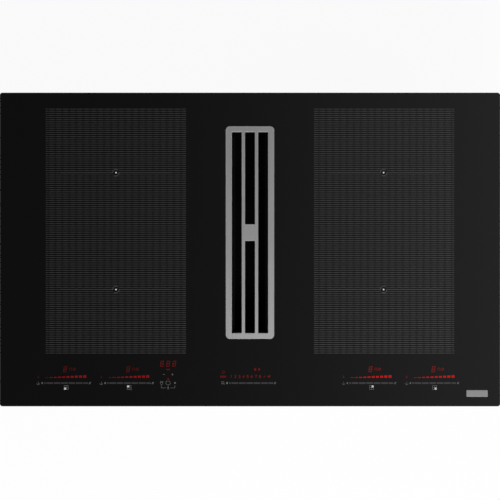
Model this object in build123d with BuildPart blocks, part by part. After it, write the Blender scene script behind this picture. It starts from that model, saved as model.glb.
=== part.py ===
"""Venting induction cooktop that drops into a worktop cut-out, in millimetres.

The origin is the middle of the worktop plane, where the rim seal rests. X runs to the cook's right, Y to the
back and Z up. The glass panel closes a shallow hob box with four coils. An air shaft in the middle leads from
the intake grille down into the extractor, whose blower sends the air out at the back.
"""
import os
from math import cos, radians, sin

from build123d import *

# Glass panel and the seals under it
GLASS_W = 830.0
GLASS_D = 520.0
GLASS_T = 4.0
GLASS_CORNER_R = 5.0
GLASS_EDGE_CHAMFER = 0.6
SEAL_T = 1.5
SEAL_W = 8.0
SEAL_INSET = 2.0
BOND_T = 0.5
BOND_W = 5.0
CUT_CLEARANCE = 0.3
SEAT_CLEARANCE = 0.1

# Intake grille, set in from the glass panel's rear and front edges
GRILLE_REAR_MARGIN = 56.0
GRILLE_FRONT_MARGIN = 112.0
GRILLE_W = 80.0
GRILLE_T = 6.0
GRILLE_CORNER_R = 6.5
GRILLE_RAIL = 9.9
GRILLE_END = 9.3
GRILLE_BAR = 5.3
GRILLE_SLOT_R = 0.8
GRILLE_EDGE_CHAMFER = 0.6
GRILLE_PROUD = 1.0
PLATE_L = 27.3
PAD_R = 2.2
PAD_INSET = 18.0
PAD_T = 1.5

# Intake collar and air shaft
COLLAR_GAP = 0.5
COLLAR_WALL = 1.5
COLLAR_LEDGE = 5.5
COLLAR_LEDGE_R = 2.0
COLLAR_T = 2.0
COLLAR_FLANGE = 10.0
SHAFT_SEAT = 3.0
SHAFT_WALL = 2.0
SHAFT_CORNER_R = 3.0
SHAFT_FLANGE_T = 2.0
SHAFT_DIP = 8.0
SHAFT_CLEARANCE = 0.4

# Grease filter and drip pan
FILTER_RIM_CLEARANCE = 0.75
FILTER_CLEARANCE = 1.5
FILTER_DEPTH = 72.0
FILTER_T = 1.0
FILTER_RIM_T = 1.5
FILTER_WINDOWS = 3
FILTER_MULLION = 12.0
FILTER_MARGIN = 9.0
MESH_T = 4.0
MESH_HOLE = 9.0
MESH_PITCH = 18.0
PAN_CLEARANCE = 2.0
PAN_H = 40.0
PAN_T = 1.5
PAN_CORNER_R = 6.0
PAN_RIB_H = 8.0
PAN_RIB_T = 2.0
PAN_RIB_GAP = 0.3

# Hob tray
RIM_OVERHANG = 27.0
TRAY_H = 56.0
TRAY_CORNER_R = 8.0
TRAY_FLANGE = 6.0
SHEET_T = 1.0
UPSTAND_H = 14.0
VENT_SLOT_L = 16.0
VENT_SLOT_H = 5.0
VENT_SLOT_PITCH = 22.0
VENT_SLOTS = 8

# Coils, one field with a pair of them on each side
FIELD_SIDE_GAP = 47.7
FIELD_REAR_GAP = 2.7
FIELD_FRONT_GAP = 12.5
FORMER_W = 218.0
FORMER_GAP = 5.8
FORMER_T = 9.0
FORMER_CORNER_R = 40.0
FORMER_RIM = 6.0
WINDING_T = 4.5
WINDING_EYE_W = 74.0
WINDING_EYE_D = 44.0
SENSOR_R = 9.0
SENSOR_STEM_R = 4.0
SENSOR_CLEARANCE = 0.3
FERRITE_L = 74.0
FERRITE_W = 14.0
FERRITE_T = 3.0
FERRITE_PITCH_X = 112.0
FERRITE_PITCH_Y = 50.0
MAT_T = 2.5
MAT_MARGIN = 6.0
COIL_PLATE_T = 1.5
COIL_PLATE_MARGIN = 8.0
SPACER_R = 4.0
SPACER_INSET = 7.0

# Power boards and cooling fans
BOARD_FAN_GAP = 15.0
BOARD_Y = -14.0
BOARD_W = 176.0
BOARD_D = 250.0
BOARD_T = 1.6
STANDOFF_R = 3.0
STANDOFF_H = 8.0
STANDOFF_INSET = 7.0
SINK_OFFSET_X = 42.0
SINK_W = 60.0
SINK_L = 150.0
SINK_BASE_T = 5.0
SINK_H = 26.0
SINK_FINS = 9
SINK_FIN_T = 1.8
CAPACITOR_OFFSET_X = -62.0
CAPACITOR_R = 11.0
CAPACITOR_H = 24.0
CAPACITOR_PITCH = 34.0
CAPACITORS = 4
CHOKE_OFFSET_X = -24.0
CHOKE_OFFSET_Y = 86.0
CHOKE_R = 15.0
CHOKE_BORE_R = 7.0
CHOKE_H = 14.0
RELAY_PITCH = 26.0
RELAYS = 3
RELAY_W = 20.0
RELAY_H = 16.0
FAN_WALL_GAP = 2.0
FAN_FRONT_GAP = 33.5
FAN_SIZE = 70.0
FAN_H = 25.0
FAN_CORNER_R = 5.0
FAN_WALL = 2.0
FAN_TIP_GAP = 1.2
FAN_HUB_R = 16.0
FAN_HUB_H = 16.0
FAN_HUB_WALL = 2.0
FAN_SPOKE_T = 3.0
FAN_SPOKE_W = 5.0
FAN_PIN_R = 2.5
FAN_FIT = 0.05
FAN_END_GAP = 0.3
FAN_BOSS_R = 5.0
FAN_BLADES = 7
FAN_BLADE_T = 1.6
FAN_BLADE_CHORD = 17.0
FAN_BLADE_ROOT_ANGLE = 52.0
FAN_BLADE_TIP_ANGLE = 38.0
FAN_FLOOR_GAP = 1.0

# Touch controls along the front
CONTROL_SIDE_GAP = 29.0
CONTROL_D = 50.0
CONTROL_INSET = 1.0
CONTROL_WALL = 2.0
CONTROL_DEPTH = 14.0
CONTROL_LEG_W = 14.0
CONTROL_LEG_D = 12.0
CONTROL_LEGS = 6
CONTROL_RIB_H = 5.5
CONTROL_BOARD_CLEARANCE = 1.0
DISPLAY_W = 70.0
DISPLAY_D = 20.0
LEFT_DISPLAY_SHIFTS = (-83.3, 21.5)
RIGHT_DISPLAY_SHIFTS = (-19.8, 84.7)
DISPLAY_OFFSET = 5.0
TIMER_SHIFT = 86.3
TIMER_W = 30.0
TIMER_D = 11.0
TIMER_OFFSET = 16.4
SLIDER_W = 72.0
SLIDER_D = 8.0
SLIDER_OFFSET = -15.6
KEY_R = 4.0
KEY_SPOTS = ((-6.8, -1.4), (6.8, -1.4), (-11.0, -15.3), (0.0, -15.3), (11.0, -15.3))

# Mains terminal and cable gland
TERMINAL_SIDE_GAP = 5.0
TERMINAL_W = 56.0
TERMINAL_D = 24.0
TERMINAL_H = 22.0
TERMINAL_WAYS = 5
TERMINAL_SCREW_R = 3.0
TERMINAL_SCREW_DEPTH = 6.0
TERMINAL_GAP = 30.0
GLAND_DROP = 36.0
GLAND_R = 11.0
GLAND_BORE_R = 6.0
GLAND_NECK_R = 8.5
GLAND_FLANGE_T = 9.0
GLAND_NUT_T = 4.0
GLAND_EDGE_C = 1.5

# Extractor case and base
CASE_H = 150.0
CASE_T = 1.2
CASE_CORNER_R = 4.0
CASE_VENT_GAP = 7.0
CASE_FLANGE = 11.0
CASE_PLENUM_W = 78.0
CASE_CLEARANCE = 12.0
BASE_T = 1.2
BASE_LIP_H = 8.0
BASE_LIP_GAP = 0.2
BASE_SCREW_PITCH = 250.0

# Pressed panels and beads that stiffen the sheet, side vents and finger guards under the fans
PRESS_TAPER = 35.0
PANEL_RISE = 2.0
PANEL_MARGIN = 22.0
PANEL_R = 12.0
BEAD_RISE = 1.4
BEAD_H = 14.0
BEAD_GAP = 60.0
SIDE_VENT_SLOTS = 6
GUARD_RINGS = 2
GUARD_BAR = 2.5

# Blower
BLOWER_X = 165.0
BLOWER_Y = 0.0
SCROLL_R_MIN = 87.0
SCROLL_R_MAX = 125.0
SCROLL_WALL = 2.5
SCROLL_H = 96.0
SCROLL_MOUTH_W = 214.0
TONGUE_ANGLE = 140.0
SCROLL_ARCS = 4
INLET_R = 58.0
INLET_BELL_R = 6.0
WHEEL_R = 80.0
WHEEL_INNER_R = 63.0
WHEEL_H = 78.0
WHEEL_FLOOR_GAP = 9.0
WHEEL_PLATE_T = 2.5
WHEEL_RING_T = 3.0
WHEEL_RING_W = 11.0
WHEEL_BLADES = 34
WHEEL_BLADE_T = 1.4
WHEEL_BLADE_BOW = 3.0
WHEEL_BLADE_LEAN = 9.0
HUB_R = 46.0
HUB_TOP_R = 40.0
HUB_H = 46.0
HUB_WALL = 2.5
HUB_BOSS_R = 9.0
HUB_BOSS_H = 9.0
AXLE_R = 4.0
AXLE_FIT = 0.05
AXLE_TAIL = 16.0
AXLE_END_GAP = 2.0
AXLE_WELL_R = 6.0
MOTOR_R = 34.0
MOTOR_H = 32.0
MOTOR_FLANGE_R = 38.0
MOTOR_FLANGE_T = 3.0
MOTOR_EDGE_R = 4.0
BEARING_R = 8.0
BEARING_H = 6.0
DAMPER_R = 5.0
DAMPER_H = 6.0
DAMPER_CIRCLE_R = 30.0
DAMPERS = 3

# Outlet spigot for a flat duct
SPIGOT_MARGIN = 2.0
SPIGOT_H = 85.0
SPIGOT_L = 42.0
SPIGOT_WALL = 2.5
SPIGOT_CORNER_R = 8.0
SPIGOT_FLANGE = 7.0
SPIGOT_FLANGE_T = 3.0
SPIGOT_LIP_GAP = 0.3
SPIGOT_EDGE_C = 1.0
SPIGOT_RIDGES = 2
SPIGOT_RIDGE_RISE = 0.8
SPIGOT_RIDGE_W = 2.0
SPIGOT_RIDGE_PITCH = 11.0

# Worktop clamps and screws
CLAMP_Y = 150.0
CLAMP_W = 24.0
CLAMP_T = 2.0
CLAMP_H = 18.0
CLAMP_REACH = 22.0
CLAMP_DROP = 50.0
CLAMP_SCREW_L = 14.0
SCREW_R = 2.0
SCREW_HEAD_R = 3.8
SCREW_HEAD_H = 2.6
SCREW_CLEARANCE = 0.2
CASE_SCREW_L = 5.0
SPIGOT_SCREW_L = 8.0

# Heights, worked out from the worktop plane
GLASS_Z0 = SEAL_T
GLASS_Z1 = GLASS_Z0 + GLASS_T
TRAY_Z1 = GLASS_Z0 - BOND_T
TRAY_Z0 = TRAY_Z1 - TRAY_H
FLOOR_Z = TRAY_Z0 + SHEET_T
GRILLE_Z1 = GLASS_Z1 + GRILLE_PROUD
GRILLE_Z0 = GRILLE_Z1 - GRILLE_T
LEDGE_Z1 = GRILLE_Z0 - PAD_T
LEDGE_Z0 = LEDGE_Z1 - COLLAR_T
SHAFT_Z0 = TRAY_Z0 - SHAFT_DIP
FILTER_Z0 = LEDGE_Z0 - FILTER_DEPTH
FORMER_Z1 = GLASS_Z0 - MAT_T
FORMER_Z0 = FORMER_Z1 - FORMER_T
COIL_PLATE_Z0 = FORMER_Z0 - COIL_PLATE_T
BOARD_Z0 = FLOOR_Z + STANDOFF_H
BOARD_Z1 = BOARD_Z0 + BOARD_T
CASE_Z0 = TRAY_Z0 - CASE_H
BASE_Z0 = CASE_Z0 - BASE_T
SCROLL_FLOOR_Z = CASE_Z0 + SCROLL_WALL
LID_Z0 = SCROLL_FLOOR_Z + SCROLL_H
WHEEL_Z0 = SCROLL_FLOOR_Z + WHEEL_FLOOR_GAP
WHEEL_Z1 = WHEEL_Z0 + WHEEL_H
HUB_Z1 = WHEEL_Z0 + HUB_H
MOTOR_Z0 = SCROLL_FLOOR_Z + DAMPER_H
MOTOR_Z1 = MOTOR_Z0 + MOTOR_FLANGE_T + MOTOR_H
CONTROL_Z0 = GLASS_Z0 - CONTROL_DEPTH
CONTROL_BOARD_Z0 = CONTROL_Z0 + CONTROL_WALL + CONTROL_RIB_H
CONTROL_BOARD_Z1 = CONTROL_BOARD_Z0 + BOARD_T
VENT_SLOT_Z = (TRAY_Z0 + COIL_PLATE_Z0) / 2
PANEL_Z = (CASE_Z0 + BASE_LIP_H + TRAY_Z0) / 2
BASE_SCREW_Z = BASE_Z0 + BASE_LIP_H / 2
OUTLET_Z = BASE_Z0 + BASE_LIP_H + SPIGOT_LIP_GAP + SPIGOT_FLANGE + SPIGOT_H / 2

# Widths and depths shared by pieces that fit each other
GRILLE_L = GLASS_D - GRILLE_REAR_MARGIN - GRILLE_FRONT_MARGIN
VENT_Y = (GRILLE_FRONT_MARGIN - GRILLE_REAR_MARGIN) / 2
TRAY_W = GLASS_W - 2 * RIM_OVERHANG
TRAY_D = GLASS_D - 2 * RIM_OVERHANG
TRAY_IN_X = TRAY_W / 2 - SHEET_T
TRAY_IN_Y = TRAY_D / 2 - SHEET_T
COLLAR_IN_W = GRILLE_W + 2 * COLLAR_GAP
COLLAR_IN_L = GRILLE_L + 2 * COLLAR_GAP
COLLAR_IN_R = GRILLE_CORNER_R + COLLAR_GAP
COLLAR_OUT_W = COLLAR_IN_W + 2 * COLLAR_WALL
COLLAR_OUT_L = COLLAR_IN_L + 2 * COLLAR_WALL
COLLAR_OUT_R = COLLAR_IN_R + COLLAR_WALL
LEDGE_W = COLLAR_IN_W - 2 * COLLAR_LEDGE
LEDGE_L = COLLAR_IN_L - 2 * COLLAR_LEDGE
SHAFT_W = LEDGE_W - 2 * SHAFT_SEAT
SHAFT_L = LEDGE_L - 2 * SHAFT_SEAT
SHAFT_OUT_W = SHAFT_W + 2 * SHAFT_WALL
SHAFT_OUT_L = SHAFT_L + 2 * SHAFT_WALL
SHAFT_OUT_R = SHAFT_CORNER_R + SHAFT_WALL
FILTER_W = SHAFT_W - 2 * FILTER_CLEARANCE
FILTER_L = SHAFT_L - 2 * FILTER_CLEARANCE
PAN_W = SHAFT_W - 2 * PAN_CLEARANCE
PAN_L = SHAFT_L - 2 * PAN_CLEARANCE
CONTROL_W = 2 * (TRAY_IN_X - CONTROL_SIDE_GAP)
CONTROL_Y = -TRAY_IN_Y + CONTROL_INSET + CONTROL_D / 2
FIELD_FRONT_Y = CONTROL_Y + CONTROL_D / 2 + FIELD_FRONT_GAP
FIELD_REAR_Y = TRAY_IN_Y - FIELD_REAR_GAP
FIELD_W = FORMER_W + 2 * COIL_PLATE_MARGIN
FIELD_D = FIELD_REAR_Y - FIELD_FRONT_Y
FORMER_D = (FIELD_D - 2 * COIL_PLATE_MARGIN - FORMER_GAP) / 2
COIL_PITCH = FORMER_D + FORMER_GAP
COIL_X = TRAY_IN_X - FIELD_SIDE_GAP - FIELD_W / 2
COIL_Y = (FIELD_FRONT_Y + FIELD_REAR_Y) / 2
WINDING_W = FORMER_W - 2 * FORMER_RIM
WINDING_D = FORMER_D - 2 * FORMER_RIM
WINDING_R = FORMER_CORNER_R - FORMER_RIM
COIL_SIDES = (("left", -COIL_X), ("right", COIL_X))
COIL_ROWS = (("rear", COIL_Y + COIL_PITCH / 2), ("front", COIL_Y - COIL_PITCH / 2))
COIL_SPOTS = [(x, y) for _, x in COIL_SIDES for _, y in COIL_ROWS]
CASE_X0 = -CASE_PLENUM_W
CASE_X1 = BLOWER_X + SCROLL_R_MAX + SCROLL_WALL + CASE_CLEARANCE + CASE_T
CASE_W = CASE_X1 - CASE_X0
CASE_X = (CASE_X0 + CASE_X1) / 2
CASE_D = 2 * (VENT_Y + SHAFT_OUT_L / 2 + CASE_VENT_GAP)
MOUTH_Y = CASE_D / 2 - CASE_T
OUTLET_X = BLOWER_X + SCROLL_R_MAX - SCROLL_MOUTH_W / 2
SPIGOT_W = SCROLL_MOUTH_W + 2 * SPIGOT_MARGIN
FAN_X = TRAY_IN_X - FAN_WALL_GAP - FAN_SIZE / 2
FAN_Y = FIELD_FRONT_Y + FAN_FRONT_GAP + FAN_SIZE / 2
FAN_BORE_R = FAN_SIZE / 2 - FAN_WALL
FAN_PIN_H = FAN_FLOOR_GAP + FAN_HUB_H - FAN_HUB_WALL - FAN_END_GAP
FAN_ROTOR_Z0 = FLOOR_Z + FAN_SPOKE_T + FAN_FLOOR_GAP
FAN_SIDES = (("left", -FAN_X), ("right", FAN_X))
BOARD_X = FAN_X - FAN_SIZE / 2 - BOARD_FAN_GAP - BOARD_W / 2
BOARD_SIDES = (("left", -1), ("right", 1))
LEFT_DISPLAYS = [-COIL_X + shift for shift in LEFT_DISPLAY_SHIFTS]
RIGHT_DISPLAYS = [COIL_X + shift for shift in RIGHT_DISPLAY_SHIFTS]
DISPLAY_XS = [*LEFT_DISPLAYS, 0, *RIGHT_DISPLAYS]
TIMER_X = -COIL_X + TIMER_SHIFT
TERMINAL_X = -(TRAY_IN_X - TERMINAL_SIDE_GAP - TERMINAL_W / 2)
TERMINAL_Y = TRAY_IN_Y - TERMINAL_GAP - TERMINAL_D / 2
CASE_SCREW_X = CASE_W + CASE_FLANGE
CASE_SCREW_Y = (CASE_D + CASE_FLANGE) / 2
SPIGOT_IN_W = SPIGOT_W - 2 * SPIGOT_WALL
SPIGOT_IN_H = SPIGOT_H - 2 * SPIGOT_WALL
SPIGOT_SCREW_X = SPIGOT_W + SPIGOT_FLANGE
SPIGOT_SCREW_Z = SPIGOT_H + SPIGOT_FLANGE
PANEL_H = CASE_H - BASE_LIP_H - 2 * PANEL_MARGIN
FRONT_PANEL_W = (CASE_W - 3 * PANEL_MARGIN) / 2
SIDE_PANEL_W = (CASE_D - 3 * PANEL_MARGIN) / 2
SPIGOT_SIDE_X = OUTLET_X - SPIGOT_W / 2 - SPIGOT_FLANGE
REAR_PANEL_W = SPIGOT_SIDE_X - CASE_X0 - 2 * PANEL_MARGIN
FRONT_BEAD_L = (TRAY_W - 3 * BEAD_GAP) / 2
REAR_BEAD_L = 2 * COIL_X - VENT_SLOTS * VENT_SLOT_PITCH - BEAD_GAP
BASE_LIP_REACH = BASE_LIP_GAP + BASE_T
SPIGOT_FRONT = Plane((OUTLET_X, CASE_D / 2, OUTLET_Z), (1, 0, 0), (0, -1, 0))
SPIGOT_REAR = SPIGOT_FRONT.offset(-SPIGOT_FLANGE_T)

os.makedirs("parts", exist_ok=True)


def save(built, name):
    """Label a finished piece and write it to its own file."""
    built.part.label = name
    export_step(built.part, f"parts/{name}.step")


def vent_plane(z):
    """A level plane over the middle of the air intake."""
    return Plane((0, VENT_Y, z))


def wall_plane(x, y, z, turn):
    """An upright plane that faces forwards, or as much further to the right as it is turned."""
    return Plane((x, y, z), (cos(radians(turn)), sin(radians(turn)), 0),
                 (sin(radians(turn)), -cos(radians(turn)), 0))


def frame_sketch(outer, outer_r, inner, inner_r):
    """A rounded rectangle with a rounded rectangular hole, in the open sketch."""
    RectangleRounded(*outer, outer_r)
    RectangleRounded(*inner, inner_r, mode=Mode.SUBTRACT)


# Glass panel with ground edges and the cut-out for the intake
with BuildPart() as glass_top:
    with BuildSketch(Plane.XY.offset(GLASS_Z0)):
        RectangleRounded(GLASS_W, GLASS_D, GLASS_CORNER_R)
    extrude(amount=GLASS_T)
    chamfer(glass_top.edges().group_by(Axis.Z)[-1], GLASS_EDGE_CHAMFER)
    chamfer(glass_top.edges().group_by(Axis.Z)[0], GLASS_EDGE_CHAMFER)
    with BuildSketch(vent_plane(GLASS_Z0)):
        RectangleRounded(COLLAR_OUT_W + 2 * CUT_CLEARANCE, COLLAR_OUT_L + 2 * CUT_CLEARANCE,
                         COLLAR_OUT_R + CUT_CLEARANCE)
    extrude(amount=GLASS_T, mode=Mode.SUBTRACT)
save(glass_top, "glass_top")

# Foam seal on which the rim rests
with BuildPart() as rim_seal:
    with BuildSketch(Plane.XY):
        frame_sketch((GLASS_W - 2 * SEAL_INSET, GLASS_D - 2 * SEAL_INSET), GLASS_CORNER_R,
                     (GLASS_W - 2 * SEAL_INSET - 2 * SEAL_W, GLASS_D - 2 * SEAL_INSET - 2 * SEAL_W),
                     GLASS_CORNER_R)
    extrude(amount=SEAL_T)
save(rim_seal, "rim_seal")

# Adhesive beads between the glass and the tray flange, and the glass and the collar
with BuildPart() as bond_bead:
    with BuildSketch(Plane.XY.offset(TRAY_Z1)):
        frame_sketch((TRAY_W + 2 * BOND_W, TRAY_D + 2 * BOND_W), TRAY_CORNER_R + BOND_W,
                     (TRAY_W, TRAY_D), TRAY_CORNER_R)
    with BuildSketch(vent_plane(TRAY_Z1)):
        frame_sketch((COLLAR_OUT_W + 2 * COLLAR_FLANGE, COLLAR_OUT_L + 2 * COLLAR_FLANGE), COLLAR_OUT_R,
                     (COLLAR_OUT_W + 2 * COLLAR_FLANGE - 2 * BOND_W,
                      COLLAR_OUT_L + 2 * COLLAR_FLANGE - 2 * BOND_W), COLLAR_OUT_R)
    extrude(amount=BOND_T)
save(bond_bead, "bond_bead")

# Collar that lines the glass cut-out and carries the grille
with BuildPart() as intake_collar:
    with BuildSketch(vent_plane(LEDGE_Z0)):
        RectangleRounded(COLLAR_OUT_W, COLLAR_OUT_L, COLLAR_OUT_R)
    extrude(amount=GLASS_Z1 - LEDGE_Z0)
    with BuildSketch(vent_plane(TRAY_Z1 - COLLAR_T)):
        RectangleRounded(COLLAR_OUT_W + 2 * COLLAR_FLANGE, COLLAR_OUT_L + 2 * COLLAR_FLANGE, COLLAR_OUT_R)
    extrude(amount=COLLAR_T)
    with BuildSketch(vent_plane(LEDGE_Z1)):
        RectangleRounded(COLLAR_IN_W, COLLAR_IN_L, COLLAR_IN_R)
    extrude(amount=GLASS_Z1 - LEDGE_Z1, mode=Mode.SUBTRACT)
    with BuildSketch(vent_plane(LEDGE_Z0)):
        RectangleRounded(LEDGE_W, LEDGE_L, COLLAR_LEDGE_R)
    extrude(amount=COLLAR_T, mode=Mode.SUBTRACT)
save(intake_collar, "intake_collar")

# Intake grille: three slots between two bars, bridged by a plain square plate
SLOT_W = (GRILLE_W - 2 * GRILLE_RAIL - 2 * GRILLE_BAR) / 3
SLOT_L = GRILLE_L - 2 * GRILLE_END
with BuildPart() as grille:
    with BuildSketch(vent_plane(GRILLE_Z0)):
        RectangleRounded(GRILLE_W, GRILLE_L, GRILLE_CORNER_R)
        with GridLocations(SLOT_W + GRILLE_BAR, 0, 3, 1):
            RectangleRounded(SLOT_W, SLOT_L, GRILLE_SLOT_R, mode=Mode.SUBTRACT)
        Rectangle(SLOT_W + 2 * GRILLE_BAR, PLATE_L)
    extrude(amount=GRILLE_T)
    chamfer(grille.faces().sort_by(Axis.Z)[-1].edges(), GRILLE_EDGE_CHAMFER)
save(grille, "grille")

# Pads under the grille that rest on the collar's ledge
with BuildPart() as grille_pads:
    with BuildSketch(vent_plane(LEDGE_Z1)):
        with GridLocations(GRILLE_W - COLLAR_LEDGE + COLLAR_GAP, GRILLE_L / 2 - PAD_INSET, 2, 3):
            Circle(PAD_R)
    extrude(amount=PAD_T)
save(grille_pads, "grille_pads")

# Air shaft that hangs under the collar and passes through the tray
with BuildPart() as air_shaft:
    with BuildSketch(vent_plane(LEDGE_Z0 - SHAFT_FLANGE_T)):
        RectangleRounded(COLLAR_OUT_W, COLLAR_OUT_L, COLLAR_OUT_R)
    extrude(amount=SHAFT_FLANGE_T)
    with BuildSketch(vent_plane(SHAFT_Z0)):
        RectangleRounded(SHAFT_OUT_W, SHAFT_OUT_L, SHAFT_OUT_R)
    extrude(amount=LEDGE_Z0 - SHAFT_Z0)
    with BuildSketch(vent_plane(SHAFT_Z0)):
        RectangleRounded(SHAFT_W, SHAFT_L, SHAFT_CORNER_R)
    extrude(amount=LEDGE_Z0 - SHAFT_Z0, mode=Mode.SUBTRACT)
save(air_shaft, "air_shaft")

# Filter basket that hangs by its rim on the shaft, with windows in both long walls
WINDOW_W = (FILTER_L - 2 * FILTER_MARGIN - (FILTER_WINDOWS - 1) * FILTER_MULLION) / FILTER_WINDOWS
WINDOW_H = FILTER_DEPTH - 2 * FILTER_MARGIN
with BuildPart() as filter_basket:
    with BuildSketch(vent_plane(FILTER_Z0)):
        RectangleRounded(FILTER_W, FILTER_L, SHAFT_CORNER_R)
    extrude(amount=FILTER_DEPTH)
    with BuildSketch(vent_plane(LEDGE_Z0)):
        RectangleRounded(LEDGE_W - 2 * FILTER_RIM_CLEARANCE, LEDGE_L - 2 * FILTER_RIM_CLEARANCE,
                         SHAFT_CORNER_R)
    extrude(amount=FILTER_RIM_T)
    with BuildSketch(vent_plane(FILTER_Z0 + FILTER_T)):
        RectangleRounded(FILTER_W - 2 * FILTER_T, FILTER_L - 2 * FILTER_T, SHAFT_CORNER_R - FILTER_T)
    extrude(amount=FILTER_DEPTH + FILTER_RIM_T, mode=Mode.SUBTRACT)
    with BuildSketch(Plane.YZ):
        with Locations((VENT_Y, FILTER_Z0 + FILTER_DEPTH / 2)):
            with GridLocations(WINDOW_W + FILTER_MULLION, 0, FILTER_WINDOWS, 1):
                RectangleRounded(WINDOW_W, WINDOW_H, SHAFT_CORNER_R)
    extrude(amount=FILTER_W, both=True, mode=Mode.SUBTRACT)
save(filter_basket, "filter_basket")

# Grease meshes that stand against the basket's long walls and cover the windows
MESH_X = FILTER_W / 2 - FILTER_T - MESH_T / 2
MESH_L = FILTER_L - 2 * FILTER_T - 2 * SHAFT_CORNER_R
MESH_H = FILTER_DEPTH - FILTER_T
MESH_COLUMNS = int(MESH_L // MESH_PITCH)
MESH_ROWS = int(MESH_H // MESH_PITCH)
for side, mesh_x in (("left", -MESH_X), ("right", MESH_X)):
    with BuildPart() as filter_mesh:
        with BuildSketch(Plane.YZ.offset(mesh_x)):
            with Locations((VENT_Y, FILTER_Z0 + FILTER_T + MESH_H / 2)):
                Rectangle(MESH_L, MESH_H)
                with GridLocations(MESH_PITCH, MESH_PITCH, MESH_COLUMNS, MESH_ROWS):
                    Rectangle(MESH_HOLE, MESH_HOLE, rotation=45, mode=Mode.SUBTRACT)
        extrude(amount=MESH_T / 2, both=True)
    save(filter_mesh, f"filter_mesh_{side}")

# Drip pan on the extractor's base, small enough to lift out through the shaft
with BuildPart() as drip_pan:
    with BuildSketch(vent_plane(CASE_Z0)):
        RectangleRounded(PAN_W, PAN_L, PAN_CORNER_R)
    extrude(amount=PAN_H)
    with BuildSketch(vent_plane(CASE_Z0 + PAN_T)):
        RectangleRounded(PAN_W - 2 * PAN_T, PAN_L - 2 * PAN_T, PAN_CORNER_R - PAN_T)
    extrude(amount=PAN_H, mode=Mode.SUBTRACT)
save(drip_pan, "drip_pan")

# Hob tray: a folded sheet box with a flange, an upstand round the shaft and air openings
with BuildPart() as hob_tray:
    with BuildSketch(Plane.XY.offset(TRAY_Z0)):
        RectangleRounded(TRAY_W, TRAY_D, TRAY_CORNER_R)
    extrude(amount=TRAY_H)
    with BuildSketch(Plane.XY.offset(TRAY_Z1 - SHEET_T)):
        RectangleRounded(TRAY_W + 2 * TRAY_FLANGE, TRAY_D + 2 * TRAY_FLANGE, TRAY_CORNER_R + TRAY_FLANGE)
    extrude(amount=SHEET_T)
    with BuildSketch(Plane.XY.offset(FLOOR_Z)):
        RectangleRounded(TRAY_W - 2 * SHEET_T, TRAY_D - 2 * SHEET_T, TRAY_CORNER_R - SHEET_T)
    extrude(amount=TRAY_H, mode=Mode.SUBTRACT)
    with BuildSketch(vent_plane(TRAY_Z0)):
        RectangleRounded(SHAFT_OUT_W + 2 * (SHAFT_CLEARANCE + SHEET_T),
                         SHAFT_OUT_L + 2 * (SHAFT_CLEARANCE + SHEET_T),
                         SHAFT_OUT_R + SHAFT_CLEARANCE + SHEET_T)
    extrude(amount=UPSTAND_H)
    with BuildSketch(vent_plane(TRAY_Z0)):
        RectangleRounded(SHAFT_OUT_W + 2 * SHAFT_CLEARANCE, SHAFT_OUT_L + 2 * SHAFT_CLEARANCE,
                         SHAFT_OUT_R + SHAFT_CLEARANCE)
    extrude(amount=UPSTAND_H, mode=Mode.SUBTRACT)
    with BuildSketch(Plane.XY.offset(TRAY_Z0)):
        with Locations((-FAN_X, FAN_Y), (FAN_X, FAN_Y)):
            Circle(FAN_BORE_R)
            for ring in range(GUARD_RINGS, 0, -1):
                ring_r = FAN_BORE_R * ring / (GUARD_RINGS + 1)
                Circle(ring_r + GUARD_BAR / 2, mode=Mode.SUBTRACT)
                Circle(ring_r - GUARD_BAR / 2)
            Rectangle(2 * FAN_BORE_R, GUARD_BAR, mode=Mode.SUBTRACT)
            Rectangle(GUARD_BAR, 2 * FAN_BORE_R, mode=Mode.SUBTRACT)
        with Locations((CASE_X, 0)):
            with GridLocations(CASE_SCREW_X, CASE_SCREW_Y, 2, 3):
                Circle(SCREW_R + SCREW_CLEARANCE)
    extrude(amount=SHEET_T, mode=Mode.SUBTRACT)
    with BuildSketch(Plane.XZ.offset(-TRAY_D / 2)):
        with Locations((-COIL_X, VENT_SLOT_Z), (COIL_X, VENT_SLOT_Z)):
            with GridLocations(VENT_SLOT_PITCH, 0, VENT_SLOTS, 1):
                SlotOverall(VENT_SLOT_L, VENT_SLOT_H)
        with Locations((TERMINAL_X, TRAY_Z1 - GLAND_DROP)):
            Circle(GLAND_NECK_R + SEAT_CLEARANCE)
    extrude(amount=SHEET_T, mode=Mode.SUBTRACT)
    for wall_x, turn in ((TRAY_W / 2, 90), (-TRAY_W / 2, 270)):
        with BuildSketch(wall_plane(wall_x, 0, VENT_SLOT_Z, turn)):
            with GridLocations(VENT_SLOT_PITCH, 0, SIDE_VENT_SLOTS, 1):
                SlotOverall(VENT_SLOT_L, VENT_SLOT_H)
        extrude(amount=-SHEET_T, mode=Mode.SUBTRACT)
    for wall, bead_l, beads in ((wall_plane(0, -TRAY_D / 2, VENT_SLOT_Z, 0), FRONT_BEAD_L, 2),
                                (wall_plane(0, TRAY_D / 2, VENT_SLOT_Z, 180), REAR_BEAD_L, 1)):
        for depth, mode in ((0, Mode.ADD), (SHEET_T, Mode.SUBTRACT)):
            with BuildSketch(wall.offset(-depth)):
                with GridLocations(FRONT_BEAD_L + BEAD_GAP, 0, beads, 1):
                    SlotOverall(bead_l - 2 * depth, BEAD_H - 2 * depth)
            extrude(amount=BEAD_RISE, taper=PRESS_TAPER, mode=mode)
save(hob_tray, "hob_tray")

# Coil plates: one aluminium sheet on each side, carried by spacers
for side, coil_x in COIL_SIDES:
    with BuildPart() as coil_plate:
        with BuildSketch(Plane((coil_x, COIL_Y, COIL_PLATE_Z0))):
            RectangleRounded(FIELD_W, FIELD_D, COIL_PLATE_MARGIN)
            with GridLocations(0, COIL_PITCH, 1, 2):
                Circle(SENSOR_STEM_R + SENSOR_CLEARANCE, mode=Mode.SUBTRACT)
        extrude(amount=COIL_PLATE_T)
    save(coil_plate, f"coil_plate_{side}")

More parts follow.
